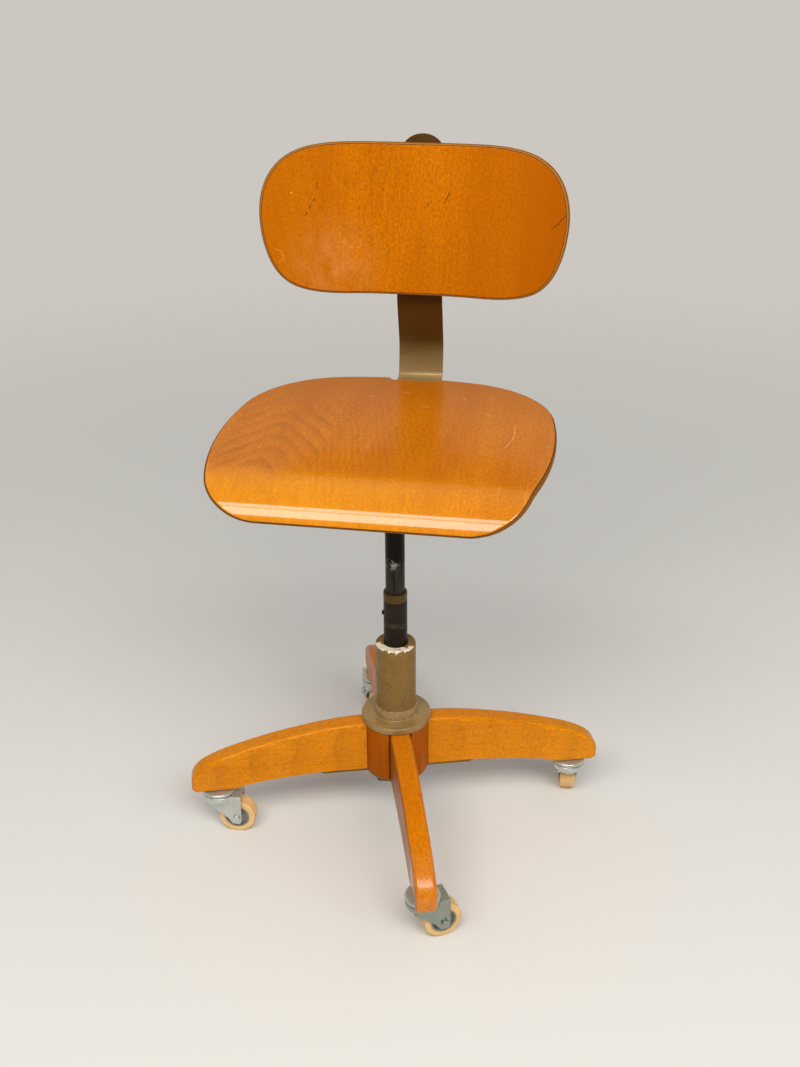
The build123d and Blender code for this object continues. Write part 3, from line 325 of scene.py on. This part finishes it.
olive_light = (0.235, 0.135, 0.036)
olive_dark = (0.180, 0.098, 0.024)
olive_enamel = enamel("olive_enamel", olive_light, olive_dark)
plain_steel = worn_finish(
    "plain_steel", (0.42, 0.42, 0.43), (0.28, 0.27, 0.26), metallic=1.0, smooth=0.3, rough=0.5
)
black_paint = worn_finish(
    "black_paint", (0.016, 0.013, 0.010), (0.03, 0.024, 0.018), metallic=0.0, smooth=0.35, rough=0.55
)
give_finish(olive_enamel, "cross_plate")
give_finish(plain_steel, "plate_screws")
give_finish(black_paint, "column_nut")

# Legs: solid beech under a clear, yellowed lacquer, each cut with the grain running out to its tip.
# They stand round the column and are screwed to the cross plate from below.
# A pair of sizes, here and below, runs from where a tone or gloss starts to where it is full.
half_leg = 0.0125
tip_gloss = (0.195, 0.225)
golden = ((0.69, 0.235, 0.002), (0.572, 0.170, 0.0015))
reddish = ((0.64, 0.190, 0.002), (0.52, 0.138, 0.0014))
side_painted_shade = (0.22, 0.055, 0.002, 1)
scuff_pale = (0.80, 0.42, 0.12, 1)
pore_brown = (0.16, 0.04, 0.002, 1)
grime_brown = (0.12, 0.035, 0.004, 1)
joints = {joint["name"]: joint for joint in frame["joints"]}


def stretched(tree, vector, scale, turn=0.0):
    """A vector turned about Z and then drawn out by a smaller scale along an axis."""
    made = add(
        tree, "ShaderNodeMapping", {"Vector": vector, "Rotation": (0, 0, turn), "Scale": scale}
    )
    return made.outputs[0]


def streaky(tree, grain, drawn, scale, detail=2.0, rough=0.5):
    """A noise pattern drawn out along Y of a grain vector; the smaller drawn is, the longer the streaks."""
    return noise(tree, stretched(tree, grain, (1, drawn, 1)), scale, detail, rough)


def hypotenuse(tree, first, second):
    """The long side of a right-angled triangle, from its two short sides."""
    squares = [calc(tree, "MULTIPLY", side, side) for side in (first, second)]
    return calc(tree, "SQRT", calc(tree, "ADD", *squares))


figure_group, enter, leave = new_group(
    "beech_figure",
    [
        ("Vector", VECTOR, (0, 0, 0)), ("Heart", FLOAT, 0.4), ("Slope", FLOAT, 8.0),
        ("Way", FLOAT, 1.0), ("Spacing", FLOAT, 0.012), ("Round", FLOAT, 0.02),
    ],
    [("Bands", FLOAT), ("Rings", FLOAT), ("Flecks", FLOAT), ("Grit", FLOAT), ("Fibres", FLOAT)],
)
grain = enter.outputs["Vector"]
spot = add(figure_group, "ShaderNodeSeparateXYZ", {0: grain})
bands = streaky(figure_group, grain, 0.12, 22.0, 3.0)
wobble = streaky(figure_group, grain, 0.6, 24.0, 3.0, 0.45)
fibres = streaky(figure_group, grain, 0.05, 330.0)
flecks = streaky(figure_group, grain, 0.2, 620.0, 1.0)
grit = streaky(figure_group, grain, 0.6, 480.0, 2.0, 0.6)
faded = streaky(figure_group, grain, 0.3, 30.0, 1.0)
steep_from_heart = 0.055
off_heart = calc(figure_group, "SUBTRACT", spot.outputs[0], enter.outputs["Heart"])
aside = calc(figure_group, "MULTIPLY", off_heart, enter.outputs["Slope"])
bow = hypotenuse(figure_group, aside, enter.outputs["Round"])
steep = calc(figure_group, "MAXIMUM", calc(figure_group, "SUBTRACT", off_heart, steep_from_heart), 0.0)
bow = calc(figure_group, "ADD", bow, calc(figure_group, "MULTIPLY", steep, 3.0))
flame = calc(figure_group, "MULTIPLY", spot.outputs[1], enter.outputs["Way"])
flame = calc(figure_group, "ADD", flame, bow)
flame = calc(figure_group, "ADD", flame, calc(figure_group, "MULTIPLY", wobble, 0.042))
ring = calc(figure_group, "FRACT", calc(figure_group, "DIVIDE", flame, enter.outputs["Spacing"]))
late_wood = spread(figure_group, ring, 0.35, 0.9)
late_wood = calc(figure_group, "MULTIPLY", late_wood, spread(figure_group, ring, 1.0, 0.93))
late_wood = calc(figure_group, "MULTIPLY", late_wood, spread(figure_group, faded, 0.35, 0.62, 0.25, 1.0))
for label, value, low, high in (
    ("Bands", bands, 0.34, 0.66), ("Rings", late_wood, 0.0, 1.0),
    ("Flecks", flecks, 0.58, 0.70), ("Grit", grit, 0.38, 0.66), ("Fibres", fibres, 0.45, 0.70),
):
    figure_group.links.new(spread(figure_group, value, low, high), leave.inputs[label])


def beech(tree, grain, pale, deep, heart, slope, way, spacing, ring_share, rounding=0.02):
    """Beech figure along Y of a grain vector: its colour, and the node that holds its masks."""
    figure = add(
        tree, "ShaderNodeGroup",
        {
            "Vector": grain, "Heart": heart, "Slope": slope, "Way": way, "Spacing": spacing,
            "Round": rounding,
        },
        node_tree=figure_group,
    )
    brown = shaded(deep, 0.45)
    colour = mixed(tree, figure.outputs["Bands"], shaded(pale, 1.08), shaded(deep, 1.08))
    for label, share in (("Grit", 0.36), ("Fibres", 0.18), ("Rings", ring_share), ("Flecks", 0.32)):
        colour = tinted(tree, colour, figure.outputs[label], share, brown)
    return colour, figure


def lacquer(tree, output, figure, colour, gloss, coat, level, coat_rough=0.05):
    """Ends a wood colour in the clear, yellowed lacquer, uneven by the flecks of the wood's figure."""
    surfaced(tree, output, {
        "Base Color": colour, "Roughness": gloss, "Coat Weight": coat, "Coat Roughness": coat_rough,
        "Specular IOR Level": level, "Specular Tint": (1.0, 0.74, 0.36, 1),
        "Normal": bumped(tree, figure.outputs["Flecks"], 0.05, 0.0003),
    })


def heading(leg):
    """The way a leg points, about Z from -Y, as its caster stands."""
    tip = joints["swivel_" + leg]["pos_m"]
    return atan2(tip[0], -tip[1])


def leg_wood(leg, tones, side_shade_share, tip_coat, coat_rough):
    """Lacquered beech with its grain along a leg, one side face darkened by painted shade and the tip
    glossier.
    """
    made, tree, output = blank_material("beech_" + leg)
    place = object_place(tree)
    grain = stretched(tree, place, (1, 1, 1), pi - heading(leg))
    colour, figure = beech(
        tree, grain, *tones, heart=0.03, slope=14.0, way=1.0, spacing=0.05, ring_share=0.25
    )
    spot = add(tree, "ShaderNodeSeparateXYZ", {0: grain})
    # Painted shade: one side face of the leg is coloured darker, by the leg's share.
    painted_shade_side = spread(tree, spot.outputs[0], half_leg - 0.0017, half_leg - 0.0003, 0.0, side_shade_share)
    colour = mixed(tree, painted_shade_side, colour, side_painted_shade)
    wear = wear_on(tree, place, 40.0)
    colour = tinted(tree, colour, wear.outputs["Scratches"], 0.25, scuff_pale)
    colour = tinted(tree, colour, figure.outputs["Flecks"], 0.06, pore_brown)
    colour = tinted(tree, colour, wear.outputs["Specks"], 0.45, grime_brown)
    gloss = broken_gloss(tree, wear, 0.28, 0.42)
    coat = spread(tree, spot.outputs[1], *tip_gloss, 0.25, tip_coat)
    lacquer(tree, output, figure, colour, gloss, coat, 0.05, coat_rough)
    return made


# Each leg's tones, its share of painted shade on one side, and the gloss coat of its tip.
leg_looks = {
    "front": {"tones": reddish, "side_shade_share": 0.75, "tip_coat": 1.0, "coat_rough": 0.22},
    "right": {"tones": golden, "side_shade_share": 0.0, "tip_coat": 0.35, "coat_rough": 0.08},
    "rear": {"tones": reddish, "side_shade_share": 0.3, "tip_coat": 0.25, "coat_rough": 0.08},
    "left": {"tones": golden, "side_shade_share": 0.0, "tip_coat": 0.35, "coat_rough": 0.08},
}
for leg, looks in leg_looks.items():
    give_finish(leg_wood(leg, **looks), "leg_" + leg)

# Hub blocks: four quarter-round beech blocks, glued between the legs with their grain upright and
# stained a little darker. A dark line shows where each meets a leg.
hub_pale = (0.44, 0.105, 0.002)
hub_deep = (0.34, 0.072, 0.001)
joint_brown = (0.020, 0.007, 0.002, 1)
hub_wood, tree, output = blank_material("hub_wood")
place = object_place(tree)
upright = add(tree, "ShaderNodeMapping", {"Vector": place, "Rotation": (pi / 2, 0, 0)}).outputs[0]
colour, figure = beech(
    tree, upright, hub_pale, hub_deep, heart=0.1, slope=14.0, way=1.0, spacing=0.05, ring_share=0.2
)
crossed = stretched(tree, place, (1, 1, 1), pi - heading("front"))
spot = add(tree, "ShaderNodeSeparateXYZ", {0: crossed})
nearest_leg = calc(
    tree, "MINIMUM", calc(tree, "ABSOLUTE", spot.outputs[0]), calc(tree, "ABSOLUTE", spot.outputs[1])
)
joint_line = spread(tree, nearest_leg, half_leg + 0.0012, half_leg + 0.0020, 0.9, 0.0)
colour = mixed(tree, joint_line, colour, joint_brown)
lacquer(tree, output, figure, colour, gloss=0.34, coat=0.0, level=0.05)
give_finish(hub_wood, *["hub_block_" + str(number) for number in (1, 2, 3, 4)])

# Column sleeve and flange: a steel tube in a turned flange, both enamelled olive brown. The sleeve goes
# down through the hub and is held by the nut below. Its top rim is chipped to a cream undercoat, and a
# brass bush is pressed into it.
def vector_calc(tree, operation, first, second, result="Vector"):
    """The output of a Vector Math node on two vectors."""
    made = add(tree, "ShaderNodeVectorMath", {0: first, 1: second}, operation=operation)
    return made.outputs[result]


def flat_place(tree, across, along):
    """Where a point lies on a surface that is rolled out flat."""
    return add(tree, "ShaderNodeCombineXYZ", {0: across, 1: along, 2: 0.0}).outputs[0]


scratch_group, enter, leave = new_group(
    "single_scratch",
    [
        ("Vector", VECTOR, (0, 0, 0)), ("Start", VECTOR, (0, 0, 0)), ("End", VECTOR, (0, 0, 0)),
        ("Width", FLOAT, 0.001),
    ],
    [("Mask", FLOAT)],
)
from_start = vector_calc(scratch_group, "SUBTRACT", enter.outputs["Vector"], enter.outputs["Start"])
run = vector_calc(scratch_group, "SUBTRACT", enter.outputs["End"], enter.outputs["Start"])
share = calc(
    scratch_group, "DIVIDE", vector_calc(scratch_group, "DOT_PRODUCT", from_start, run, "Value"),
    vector_calc(scratch_group, "DOT_PRODUCT", run, run, "Value"),
)
share = calc(scratch_group, "MINIMUM", calc(scratch_group, "MAXIMUM", share, 0.0), 1.0)
nearest = add(scratch_group, "ShaderNodeVectorMath", {0: run, "Scale": share}, operation="SCALE").outputs[0]
ragged = calc(scratch_group, "SUBTRACT", noise(scratch_group, enter.outputs["Vector"], 500.0), 0.5)
gap = calc(
    scratch_group, "ADD", vector_calc(scratch_group, "DISTANCE", from_start, nearest, "Value"),
    calc(scratch_group, "MULTIPLY", ragged, enter.outputs["Width"]),
)
inner = calc(scratch_group, "MULTIPLY", enter.outputs["Width"], 0.4)
scratch_group.links.new(spread(scratch_group, gap, enter.outputs["Width"], inner), leave.inputs["Mask"])


def scratched(tree, place, colour, start, end, width, tone):
    """A colour with one scratch across it, its ends and width given in millimetres on the surface."""
    mark = add(
        tree, "ShaderNodeGroup",
        {
            "Vector": place, "Start": (start[0] / 1000, start[1] / 1000, 0.0),
            "End": (end[0] / 1000, end[1] / 1000, 0.0), "Width": width / 1000,
        },
        node_tree=scratch_group,
    )
    return tinted(tree, colour, mark.outputs["Mask"], 0.85, tone)


def soften(width, *names):
    """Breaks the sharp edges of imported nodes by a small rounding."""
    for node_name in names:
        weld = frame["nodes"][node_name].modifiers.new("weld", "WELD")
        weld.merge_threshold = 0.00002
        edge = frame["nodes"][node_name].modifiers.new("edge", "BEVEL")
        edge.width = width
        edge.segments = 2
        edge.limit_method = "ANGLE"
        edge.angle_limit = radians(35)
        edge.harden_normals = True


# The flange's enamel is a lighter copy of the sleeve's olive: painted light for the light on its top face
# and rim.
flange_lit_pale = (0.31, 0.190, 0.058)
flange_lit_deep = (0.220, 0.126, 0.035)
sleeve_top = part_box("column_sleeve")[1]
chipped_height = 0.006
chipped_front = (0.004, -0.012)
cream_undercoat = (0.78, 0.71, 0.54, 1)
crack_tone = (0.035, 0.020, 0.006, 1)
sleeve_cracks = (
    ((18.5, 198), (16.5, 190), 0.45), ((16.5, 190), (14, 186), 0.45), ((14, 186), (12, 175), 0.5),
    ((-11, 210), (-10, 209), 0.9), ((-8, 206), (-7, 206), 0.9), ((-5, 209), (-5, 208), 0.8),
    ((-3, 204), (-2, 204), 0.9), ((-7, 201), (-6, 201), 0.7), ((-2, 207), (-1, 207), 0.7),
)


def sleeve_wear(tree, place, colour):
    """The sleeve's rim, chipped in front, and the dark cracks in its enamel."""
    spot = add(tree, "ShaderNodeSeparateXYZ", {0: place})
    flake = noise(tree, stretched(tree, place, (1, 1, 2.2)), 150.0, 3.0, 0.6)
    high = spread(tree, spot.outputs[2], sleeve_top.z - chipped_height, sleeve_top.z, 0.0, 0.42)
    front = spread(tree, spot.outputs[1], *chipped_front)
    edge = calc(tree, "ADD", flake, calc(tree, "MULTIPLY", high, front))
    colour = mixed(tree, spread(tree, edge, 0.80, 0.83), colour, cream_undercoat)
    turn = calc(tree, "ARCTAN2", spot.outputs[0], calc(tree, "MULTIPLY", spot.outputs[1], -1.0))
    rolled_out = flat_place(tree, calc(tree, "MULTIPLY", turn, sleeve_top.x), spot.outputs[2])
    for start, end, width in sleeve_cracks:
        colour = scratched(tree, rolled_out, colour, start, end, width, crack_tone)
    return colour


lit_flange_enamel = enamel("lit_flange_enamel", flange_lit_pale, flange_lit_deep, coat=1.0)
sleeve_enamel = enamel("sleeve_enamel", olive_light, olive_dark, marked=sleeve_wear)
bush_brass = worn_finish(
    "bush_brass", (0.50, 0.36, 0.14), (0.30, 0.21, 0.08), metallic=1.0, smooth=0.3, rough=0.5
)
give_finish(lit_flange_enamel, "column_flange")
give_finish(sleeve_enamel, "column_sleeve")
give_finish(bush_brass, "guide_bush")
soften(0.0030, "column_flange")
soften(0.0008, "column_sleeve")

# Casters: a stem driven into each leg, a pressed and zinc-plated fork on a bearing ring, an axle and a grey
# moulded wheel with a beige rubber tyre. The front fork and its axle take a darker copy of the zinc: painted
# shade for the shade under their leg.
zinc = worn_finish(
    "zinc", (0.60, 0.63, 0.60), (0.50, 0.53, 0.49), metallic=0.7, smooth=0.22, rough=0.3,
    scratch=(0.8, 0.8, 0.78),
)
# Painted shade: a darker copy of the zinc, for the front fork in the shade of its leg.
shaded_zinc = worn_finish(
    "shaded_zinc", (0.34, 0.38, 0.335), (0.265, 0.30, 0.26), metallic=0.75, smooth=0.18, rough=0.28,
    scratch=(0.7, 0.7, 0.66),
)
core_grey = worn_finish(
    "core_grey", (0.27, 0.26, 0.22), (0.18, 0.17, 0.145), metallic=0.0, smooth=0.45, rough=0.6, size=70.0
)
tyre_rubber = worn_finish(
    "tyre_rubber", (0.76, 0.50, 0.22), (0.62, 0.38, 0.15), metallic=0.0, smooth=0.5, rough=0.7, size=50.0,
    scratch=(0.5, 0.3, 0.12),
)
give_finish(zinc, "caster_stems", "caster_races")
for leg in leg_looks:
    give_finish(shaded_zinc if leg == "front" else zinc, "fork_" + leg, "axle_" + leg)
    give_finish(core_grey, "wheel_core_" + leg)
    give_finish(tyre_rubber, "tyre_" + leg)
    soften(0.0009, "fork_" + leg)
    soften(0.0006, "axle_" + leg)

# Telescopic tube: steel, enamelled nearly black, with a small fixed pin and an olive cap at its top. It
# slides in the sleeve's bush on a steel ring, and a plug with a brass washer in it carries the seat shaft.
rubbed_top = (0.282, 0.300)
bare_ring_low = 0.2765
bare_ring_high = 0.2865
tube_black = (0.007, 0.004, 0.0015, 1)
tube_brown = (0.015, 0.009, 0.004, 1)
rubbed_brown = (0.026, 0.016, 0.007, 1)
bare_grey = (0.075, 0.060, 0.040, 1)
tube_scratch = (0.07, 0.05, 0.03, 1)
cap_light = (0.105, 0.055, 0.012)
cap_dark = (0.075, 0.038, 0.008)
dark_enamel, tree, output = blank_material("dark_enamel")
place = object_place(tree)
wear = wear_on(tree, place, 55.0)
height = add(tree, "ShaderNodeSeparateXYZ", {0: place}).outputs[2]
colour = mixed(tree, wear.outputs["Mottle"], tube_black, tube_brown)
rubbed = spread(tree, height, *rubbed_top, 0.0, 0.6)
colour = mixed(tree, rubbed, colour, rubbed_brown)
ring = calc(
    tree, "MULTIPLY", spread(tree, height, bare_ring_low, bare_ring_low + 0.0030),
    spread(tree, height, bare_ring_high, bare_ring_high - 0.0025),
)
patchy = noise(tree, stretched(tree, place, (1, 1, 4)), 120.0, 3.0)
ring = calc(tree, "MULTIPLY", ring, spread(tree, patchy, 0.36, 0.66, 0.0, 0.7))
colour = mixed(tree, ring, colour, bare_grey)
colour = tinted(tree, colour, wear.outputs["Scratches"], 0.4, tube_scratch)
surfaced(tree, output, {
    "Base Color": colour, "Roughness": broken_gloss(tree, wear, 0.3, 0.44), "Specular IOR Level": 0.13,
})
cap_enamel = enamel("cap_enamel", cap_light, cap_dark)
give_finish(dark_enamel, "guide_tube", "stop_pin")
give_finish(cap_enamel, "tube_cap")
give_finish(plain_steel, "tube_ring", "tube_plug")
give_finish(bush_brass, "thrust_washer")
soften(0.0006, "tube_cap")

# Seat carrier: the turning shaft, dark above and worn to bare steel below, its boss and the plate under the
# seat with its screws. The guide for the strap, with its clamp bolt and knob, is screwed to the seat behind.
paint_end = 0.366
shaft_paint = (0.008, 0.0045, 0.002, 1)
steel_dark = (0.012, 0.009, 0.006, 1)
steel_light = (0.060, 0.050, 0.038, 1)
scuff_grey = (0.44, 0.40, 0.34, 1)
shaft_steel, tree, output = blank_material("shaft_steel")
place = object_place(tree)
spot = add(tree, "ShaderNodeSeparateXYZ", {0: place})
height = spot.outputs[2]
streaks = noise(tree, stretched(tree, place, (1, 1, 0.06)), 260.0, 3.0, 0.6)
bare = mixed(tree, spread(tree, streaks, 0.35, 0.68), steel_dark, steel_light)
worn_off = spread(tree, height, paint_end + 0.003, paint_end - 0.003)
colour = mixed(tree, worn_off, shaft_paint, bare)
scuff = spread(tree, noise(tree, stretched(tree, place, (1, 1, 0.6)), 210.0, 4.0, 0.65), 0.54, 0.62)
near_end = calc(
    tree, "MULTIPLY", spread(tree, height, paint_end - 0.012, paint_end - 0.004),
    spread(tree, height, paint_end + 0.006, paint_end + 0.001),
)
on_one_side = spread(tree, spot.outputs[0], 0.008, 0.002)
scuff = calc(tree, "MULTIPLY", calc(tree, "MULTIPLY", scuff, near_end), on_one_side)
colour = tinted(tree, colour, scuff, 0.75, scuff_grey)
surfaced(tree, output, {
    "Base Color": colour, "Roughness": spread(tree, streaks, 0.3, 0.7, 0.3, 0.46), "Metallic": 0.35,
    "Specular IOR Level": 0.12,
})
knob_black = worn_finish(
    "knob_black", (0.012, 0.011, 0.010), (0.02, 0.018, 0.016), metallic=0.0, smooth=0.25, rough=0.4
)
give_finish(shaft_steel, "seat_shaft", "seat_boss")
give_finish(plain_steel, "seat_plate", "seat_screws")
give_finish(plain_steel, "strap_guide", "guide_screws", "depth_bolt", "depth_washer")
give_finish(knob_black, "depth_knob")

# Seat: beech plywood pressed over a form, so its grain runs front to back and over the rolled front.
# Its cut rim shows the plies, and the lacquer is glossy on the roll. It is screwed to the plate below.
shell_thickness = 0.010
ply_pairs = 3.5
roll_radius = 0.060
roll_start = -0.132
seat_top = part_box("seat_shell")[1].z
marked_depth = (0.006, 0.004)
rim_dark = (0.17, 0.058, 0.008, 1)
rim_light = (0.34, 0.135, 0.022, 1)
glue_brown = (0.060, 0.020, 0.004, 1)
seat_pale = (0.622, 0.187, 0.003)
seat_deep = (0.526, 0.145, 0.002)
seat_grit = (0.27, 0.066, 0.001, 1)
flame_middle = (-0.095, -0.060, 0.0)
rear_shade_span = (0.02, 0.14)
rear_painted_shade = (0.38, 0.096, 0.0015, 1)
front_light_span = (-0.122, -0.152)
painted_light_gold = (0.82, 0.34, 0.006, 1)
runs_span = (-0.105, -0.140)
runs_brown = (0.46, 0.140, 0.002, 1)
roll_gloss = (-0.130, -0.165)
pale_scratch = (0.76, 0.41, 0.14, 1)
seat_scratches = (
    ((131, 23), (133, -4), 0.5), ((133, -4), (132, -19), 0.6), ((132, -19), (126, -41), 0.5),
    ((64, 96), (70, 90), 0.5), ((-48, 88), (-40, 84), 0.45), ((22, 60), (31, 63), 0.5),
    ((-8, 104), (2, 101), 0.5), ((96, 52), (101, 44), 0.45), ((-70, 40), (-66, 33), 0.45),
)


def on_face(tree, depth, plain, marked):
    """The marked colour in the half of a shell that faces the sitter, and the plain one behind it."""
    return mixed(tree, spread(tree, depth, *marked_depth), plain, marked)


def plies(tree, depth, colour, start):
    """A face colour that gives way to the layers of the cut rim from a start depth, and the rim's mask."""
    layer = calc(tree, "SINE", calc(tree, "MULTIPLY", depth, 2 * pi / (shell_thickness / ply_pairs)))
    rim = mixed(tree, spread(tree, layer, -0.4, 0.6), rim_dark, rim_light)
    inside = calc(
        tree, "MULTIPLY", spread(tree, depth, start, 2 * start),
        spread(tree, depth, shell_thickness - 0.0004, shell_thickness - 0.0008),
    )
    glue_line = spread(tree, depth, 8 * start, 3 * start)
    rim = mixed(tree, glue_line, rim, glue_brown)
    return mixed(tree, inside, colour, rim), inside


def dull_rim(tree, gloss, cut_rim):
    """A roughness that is raised on the cut rim."""
    return calc(tree, "ADD", gloss, calc(tree, "MULTIPLY", cut_rim, 0.5))


seat_wood, tree, output = blank_material("seat_plywood")
spot = add(tree, "ShaderNodeSeparateXYZ", {0: object_place(tree)})
ahead = calc(tree, "MAXIMUM", calc(tree, "SUBTRACT", roll_start, spot.outputs[1]), 0.0)
above = calc(tree, "SUBTRACT", spot.outputs[2], seat_top - roll_radius)
down_roll = calc(tree, "MULTIPLY", calc(tree, "ARCTAN2", ahead, above), roll_radius)
along = calc(tree, "SUBTRACT", calc(tree, "MAXIMUM", spot.outputs[1], roll_start), down_roll)
depth = calc(tree, "SUBTRACT", roll_radius, hypotenuse(tree, ahead, above))
grain = flat_place(tree, spot.outputs[0], along)
from_flame = vector_calc(tree, "DISTANCE", grain, flame_middle, "Value")
flame_share = spread(tree, from_flame, 0.06, 0.16, 0.44, 0.05)
colour, figure = beech(
    tree, grain, seat_pale, seat_deep,
    heart=-0.121, slope=1.65, way=1.0, spacing=0.034, ring_share=flame_share,
)
colour = tinted(tree, colour, figure.outputs["Grit"], 0.3, seat_grit)
# Painted shade: the rear of the seat is coloured darker, for the backrest's shade and the darker reflection
# there.
colour = mixed(tree, spread(tree, along, *rear_shade_span, 0.0, 0.65), colour, rear_painted_shade)
# Painted light: the front of the seat, where the roll starts, is coloured a brighter gold, less so to the
# right.
front_painted_light = spread(tree, along, *front_light_span, 0.0, 0.30)
front_painted_light = calc(tree, "MULTIPLY", front_painted_light, spread(tree, spot.outputs[0], 0.0, 0.12, 1.0, 0.4))
colour = mixed(tree, front_painted_light, colour, painted_light_gold)
runs = spread(tree, streaky(tree, grain, 0.2, 150.0, 3.0, 0.6), 0.48, 0.66, 0.0, 0.45)
runs = calc(tree, "MULTIPLY", runs, spread(tree, along, *runs_span))
colour = mixed(tree, runs, colour, runs_brown)
unmarked = colour
for start, end, width in seat_scratches:
    colour = scratched(tree, grain, colour, start, end, width, pale_scratch)
wear = wear_on(tree, grain, 18.0)
colour = tinted(tree, colour, wear.outputs["Scratches"], 0.18, pale_scratch)
colour = on_face(tree, depth, unmarked, colour)
colour, cut_rim = plies(tree, depth, colour, start=0.0002)
gloss = dull_rim(tree, broken_gloss(tree, wear, 0.22, 0.32), cut_rim)
coat = spread(tree, along, *roll_gloss, 0.1, 1.0)
coat = calc(tree, "MULTIPLY", coat, calc(tree, "SUBTRACT", 1.0, cut_rim))
lacquer(tree, output, figure, colour, gloss, coat, level=0.18)
give_finish(seat_wood, "seat_shell")

# Strap: one flat steel bar, bent up behind the seat and bowed, in the column's olive enamel. It slides in
# the guide under the seat and carries the backrest. Its colour is painted reflection: darker than the
# column's enamel where it mirrors the shaded seat and backrest, and paler at its foot as a painted highlight
# where the bend catches the light.
strap_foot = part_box("back_strap")[0].z
strap_olive = (0.080, 0.030, 0.001, 1)
strap_cloud = (0.10, 0.045, 0.006, 1)
painted_highlight_pale = (0.345, 0.226, 0.090, 1)
strap_enamel, tree, output = blank_material("strap_enamel")
place = object_place(tree)
wear = wear_on(tree, place, 35.0)
height = add(tree, "ShaderNodeSeparateXYZ", {0: place}).outputs[2]
# Painted highlight: the foot of the strap turns paler just above the bend.
foot_painted_highlight = spread(tree, height, strap_foot + 0.050, strap_foot + 0.004)
colour = mixed(tree, foot_painted_highlight, strap_olive, painted_highlight_pale)
colour = tinted(tree, colour, wear.outputs["Mottle"], 0.25, strap_cloud)
surfaced(tree, output, {
    "Base Color": colour, "Roughness": broken_gloss(tree, wear, 0.34, 0.44), "Metallic": 0.3,
    "Specular IOR Level": 0.3,
})
give_finish(strap_enamel, "back_strap")
soften(0.0006, "back_strap")

# Backrest carriage: the steel block, stud, washer and black moulded knob behind the strap, the pivot pin
# and the bracket, which is screwed to the back of the plywood.
give_finish(plain_steel, "back_carriage", "back_stud", "back_washer", "pivot_pin")
give_finish(plain_steel, "back_bracket", "back_screws")
give_finish(knob_black, "back_knob")

# Backrest: beech plywood pressed to a hollow curve, lacquered, its grain running upright. It is screwed to
# the bracket behind it. Its face has a rubbed patch, dents and scratches, and its cut rim shows the plies.
back_radius = 0.511
back_face_ahead = 0.0243
back_up = Vector(joints["back_height"]["axis"])
back_out = Vector(joints["back_knob_turn"]["axis"])
back_middle = Vector(joints["back_knob_turn"]["pos_m"]) + back_face_ahead * back_out
back_pale = (0.552, 0.154, 0.0007)
back_deep = (0.470, 0.122, 0.0005)
back_grit = (0.24, 0.056, 0.0003, 1)
right_shade_span = (0.03, 0.165)
right_painted_shade = (0.36, 0.080, 0.0005, 1)
left_shade_span = (-0.06, -0.165)
left_painted_shade = (0.40, 0.105, 0.0006, 1)
flame_span = (0.02, -0.05)
rubbed_middle = (-0.098, -0.050, 0.0)
rubbed_reach = (0.066, 0.010)
rubbed_pale = (0.66, 0.29, 0.085, 1)
dark_mark = (0.030, 0.016, 0.008, 1)
pale_mark = (0.68, 0.26, 0.04, 1)
back_marks = (
    ((6, 13), (16, 22), 0.45, dark_mark), ((30, 20), (36, 32), 0.75, dark_mark),
    ((157, -2), (165, 4), 0.6, dark_mark), ((165, 4), (172, 13), 0.7, dark_mark),
    ((-130, 3), (-128, 6), 0.8, dark_mark), ((-126, 11), (-124, 14), 0.7, dark_mark),
    ((-121, 19), (-119, 22), 0.6, dark_mark), ((-117, 34), (-116, 39), 0.5, dark_mark),
    ((-147, 28), (-145, 28), 0.9, pale_mark), ((-92, -16), (-90, -20), 0.45, pale_mark),
    ((-87, -26), (-82, -30), 0.45, pale_mark), ((-79, -32), (-75, -33), 0.5, pale_mark),
    ((-70, -33), (-67, -32), 0.4, pale_mark), ((-60, -30), (-57, -28), 0.4, pale_mark),
    ((-164, -35), (-158, -38), 0.4, pale_mark), ((-158, -38), (-155, -46), 0.4, pale_mark),
    ((-155, -46), (-161, -50), 0.4, pale_mark),
)
back_wood, tree, output = blank_material("back_plywood")
place = object_place(tree)
from_middle = vector_calc(tree, "SUBTRACT", place, back_middle)
height = vector_calc(tree, "DOT_PRODUCT", from_middle, back_up, "Value")
out = vector_calc(tree, "DOT_PRODUCT", from_middle, back_out, "Value")
aside = add(tree, "ShaderNodeSeparateXYZ", {0: place}).outputs[0]
to_axis = calc(tree, "SUBTRACT", back_radius, out)
depth = calc(tree, "SUBTRACT", hypotenuse(tree, aside, to_axis), back_radius)
across = calc(tree, "MULTIPLY", calc(tree, "ARCTAN2", aside, to_axis), back_radius)
grain = flat_place(tree, across, height)
flame_share = spread(tree, across, *flame_span, 0.06, 0.20)
colour, figure = beech(
    tree, grain, back_pale, back_deep,
    heart=-0.078, slope=4.2, way=-1.0, spacing=0.055, ring_share=flame_share, rounding=0.06,
)
colour = tinted(tree, colour, figure.outputs["Grit"], 0.26, back_grit)
# Painted shade: both ends of the hollow curve are coloured darker, the right end most.
colour = mixed(tree, spread(tree, across, *right_shade_span, 0.0, 0.85), colour, right_painted_shade)
colour = mixed(tree, spread(tree, across, *left_shade_span, 0.0, 0.55), colour, left_painted_shade)
unmarked = colour
from_rubbed = vector_calc(tree, "DISTANCE", grain, rubbed_middle, "Value")
cloud = noise(tree, grain, 45.0, 4.0, 0.65)
haze = calc(tree, "MULTIPLY", spread(tree, from_rubbed, *rubbed_reach), spread(tree, cloud, 0.32, 0.70))
colour = tinted(tree, colour, haze, 0.34, rubbed_pale)
for start, end, width, tone in back_marks:
    colour = scratched(tree, grain, colour, start, end, width, tone)
colour = on_face(tree, depth, unmarked, colour)
colour, cut_rim = plies(tree, depth, colour, start=0.00005)
wear = wear_on(tree, grain, 18.0)
gloss = dull_rim(tree, broken_gloss(tree, wear, 0.26, 0.40), cut_rim)
lacquer(tree, output, figure, colour, gloss, coat=0.02, level=0.10)
give_finish(back_wood, "back_shell")

low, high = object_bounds()
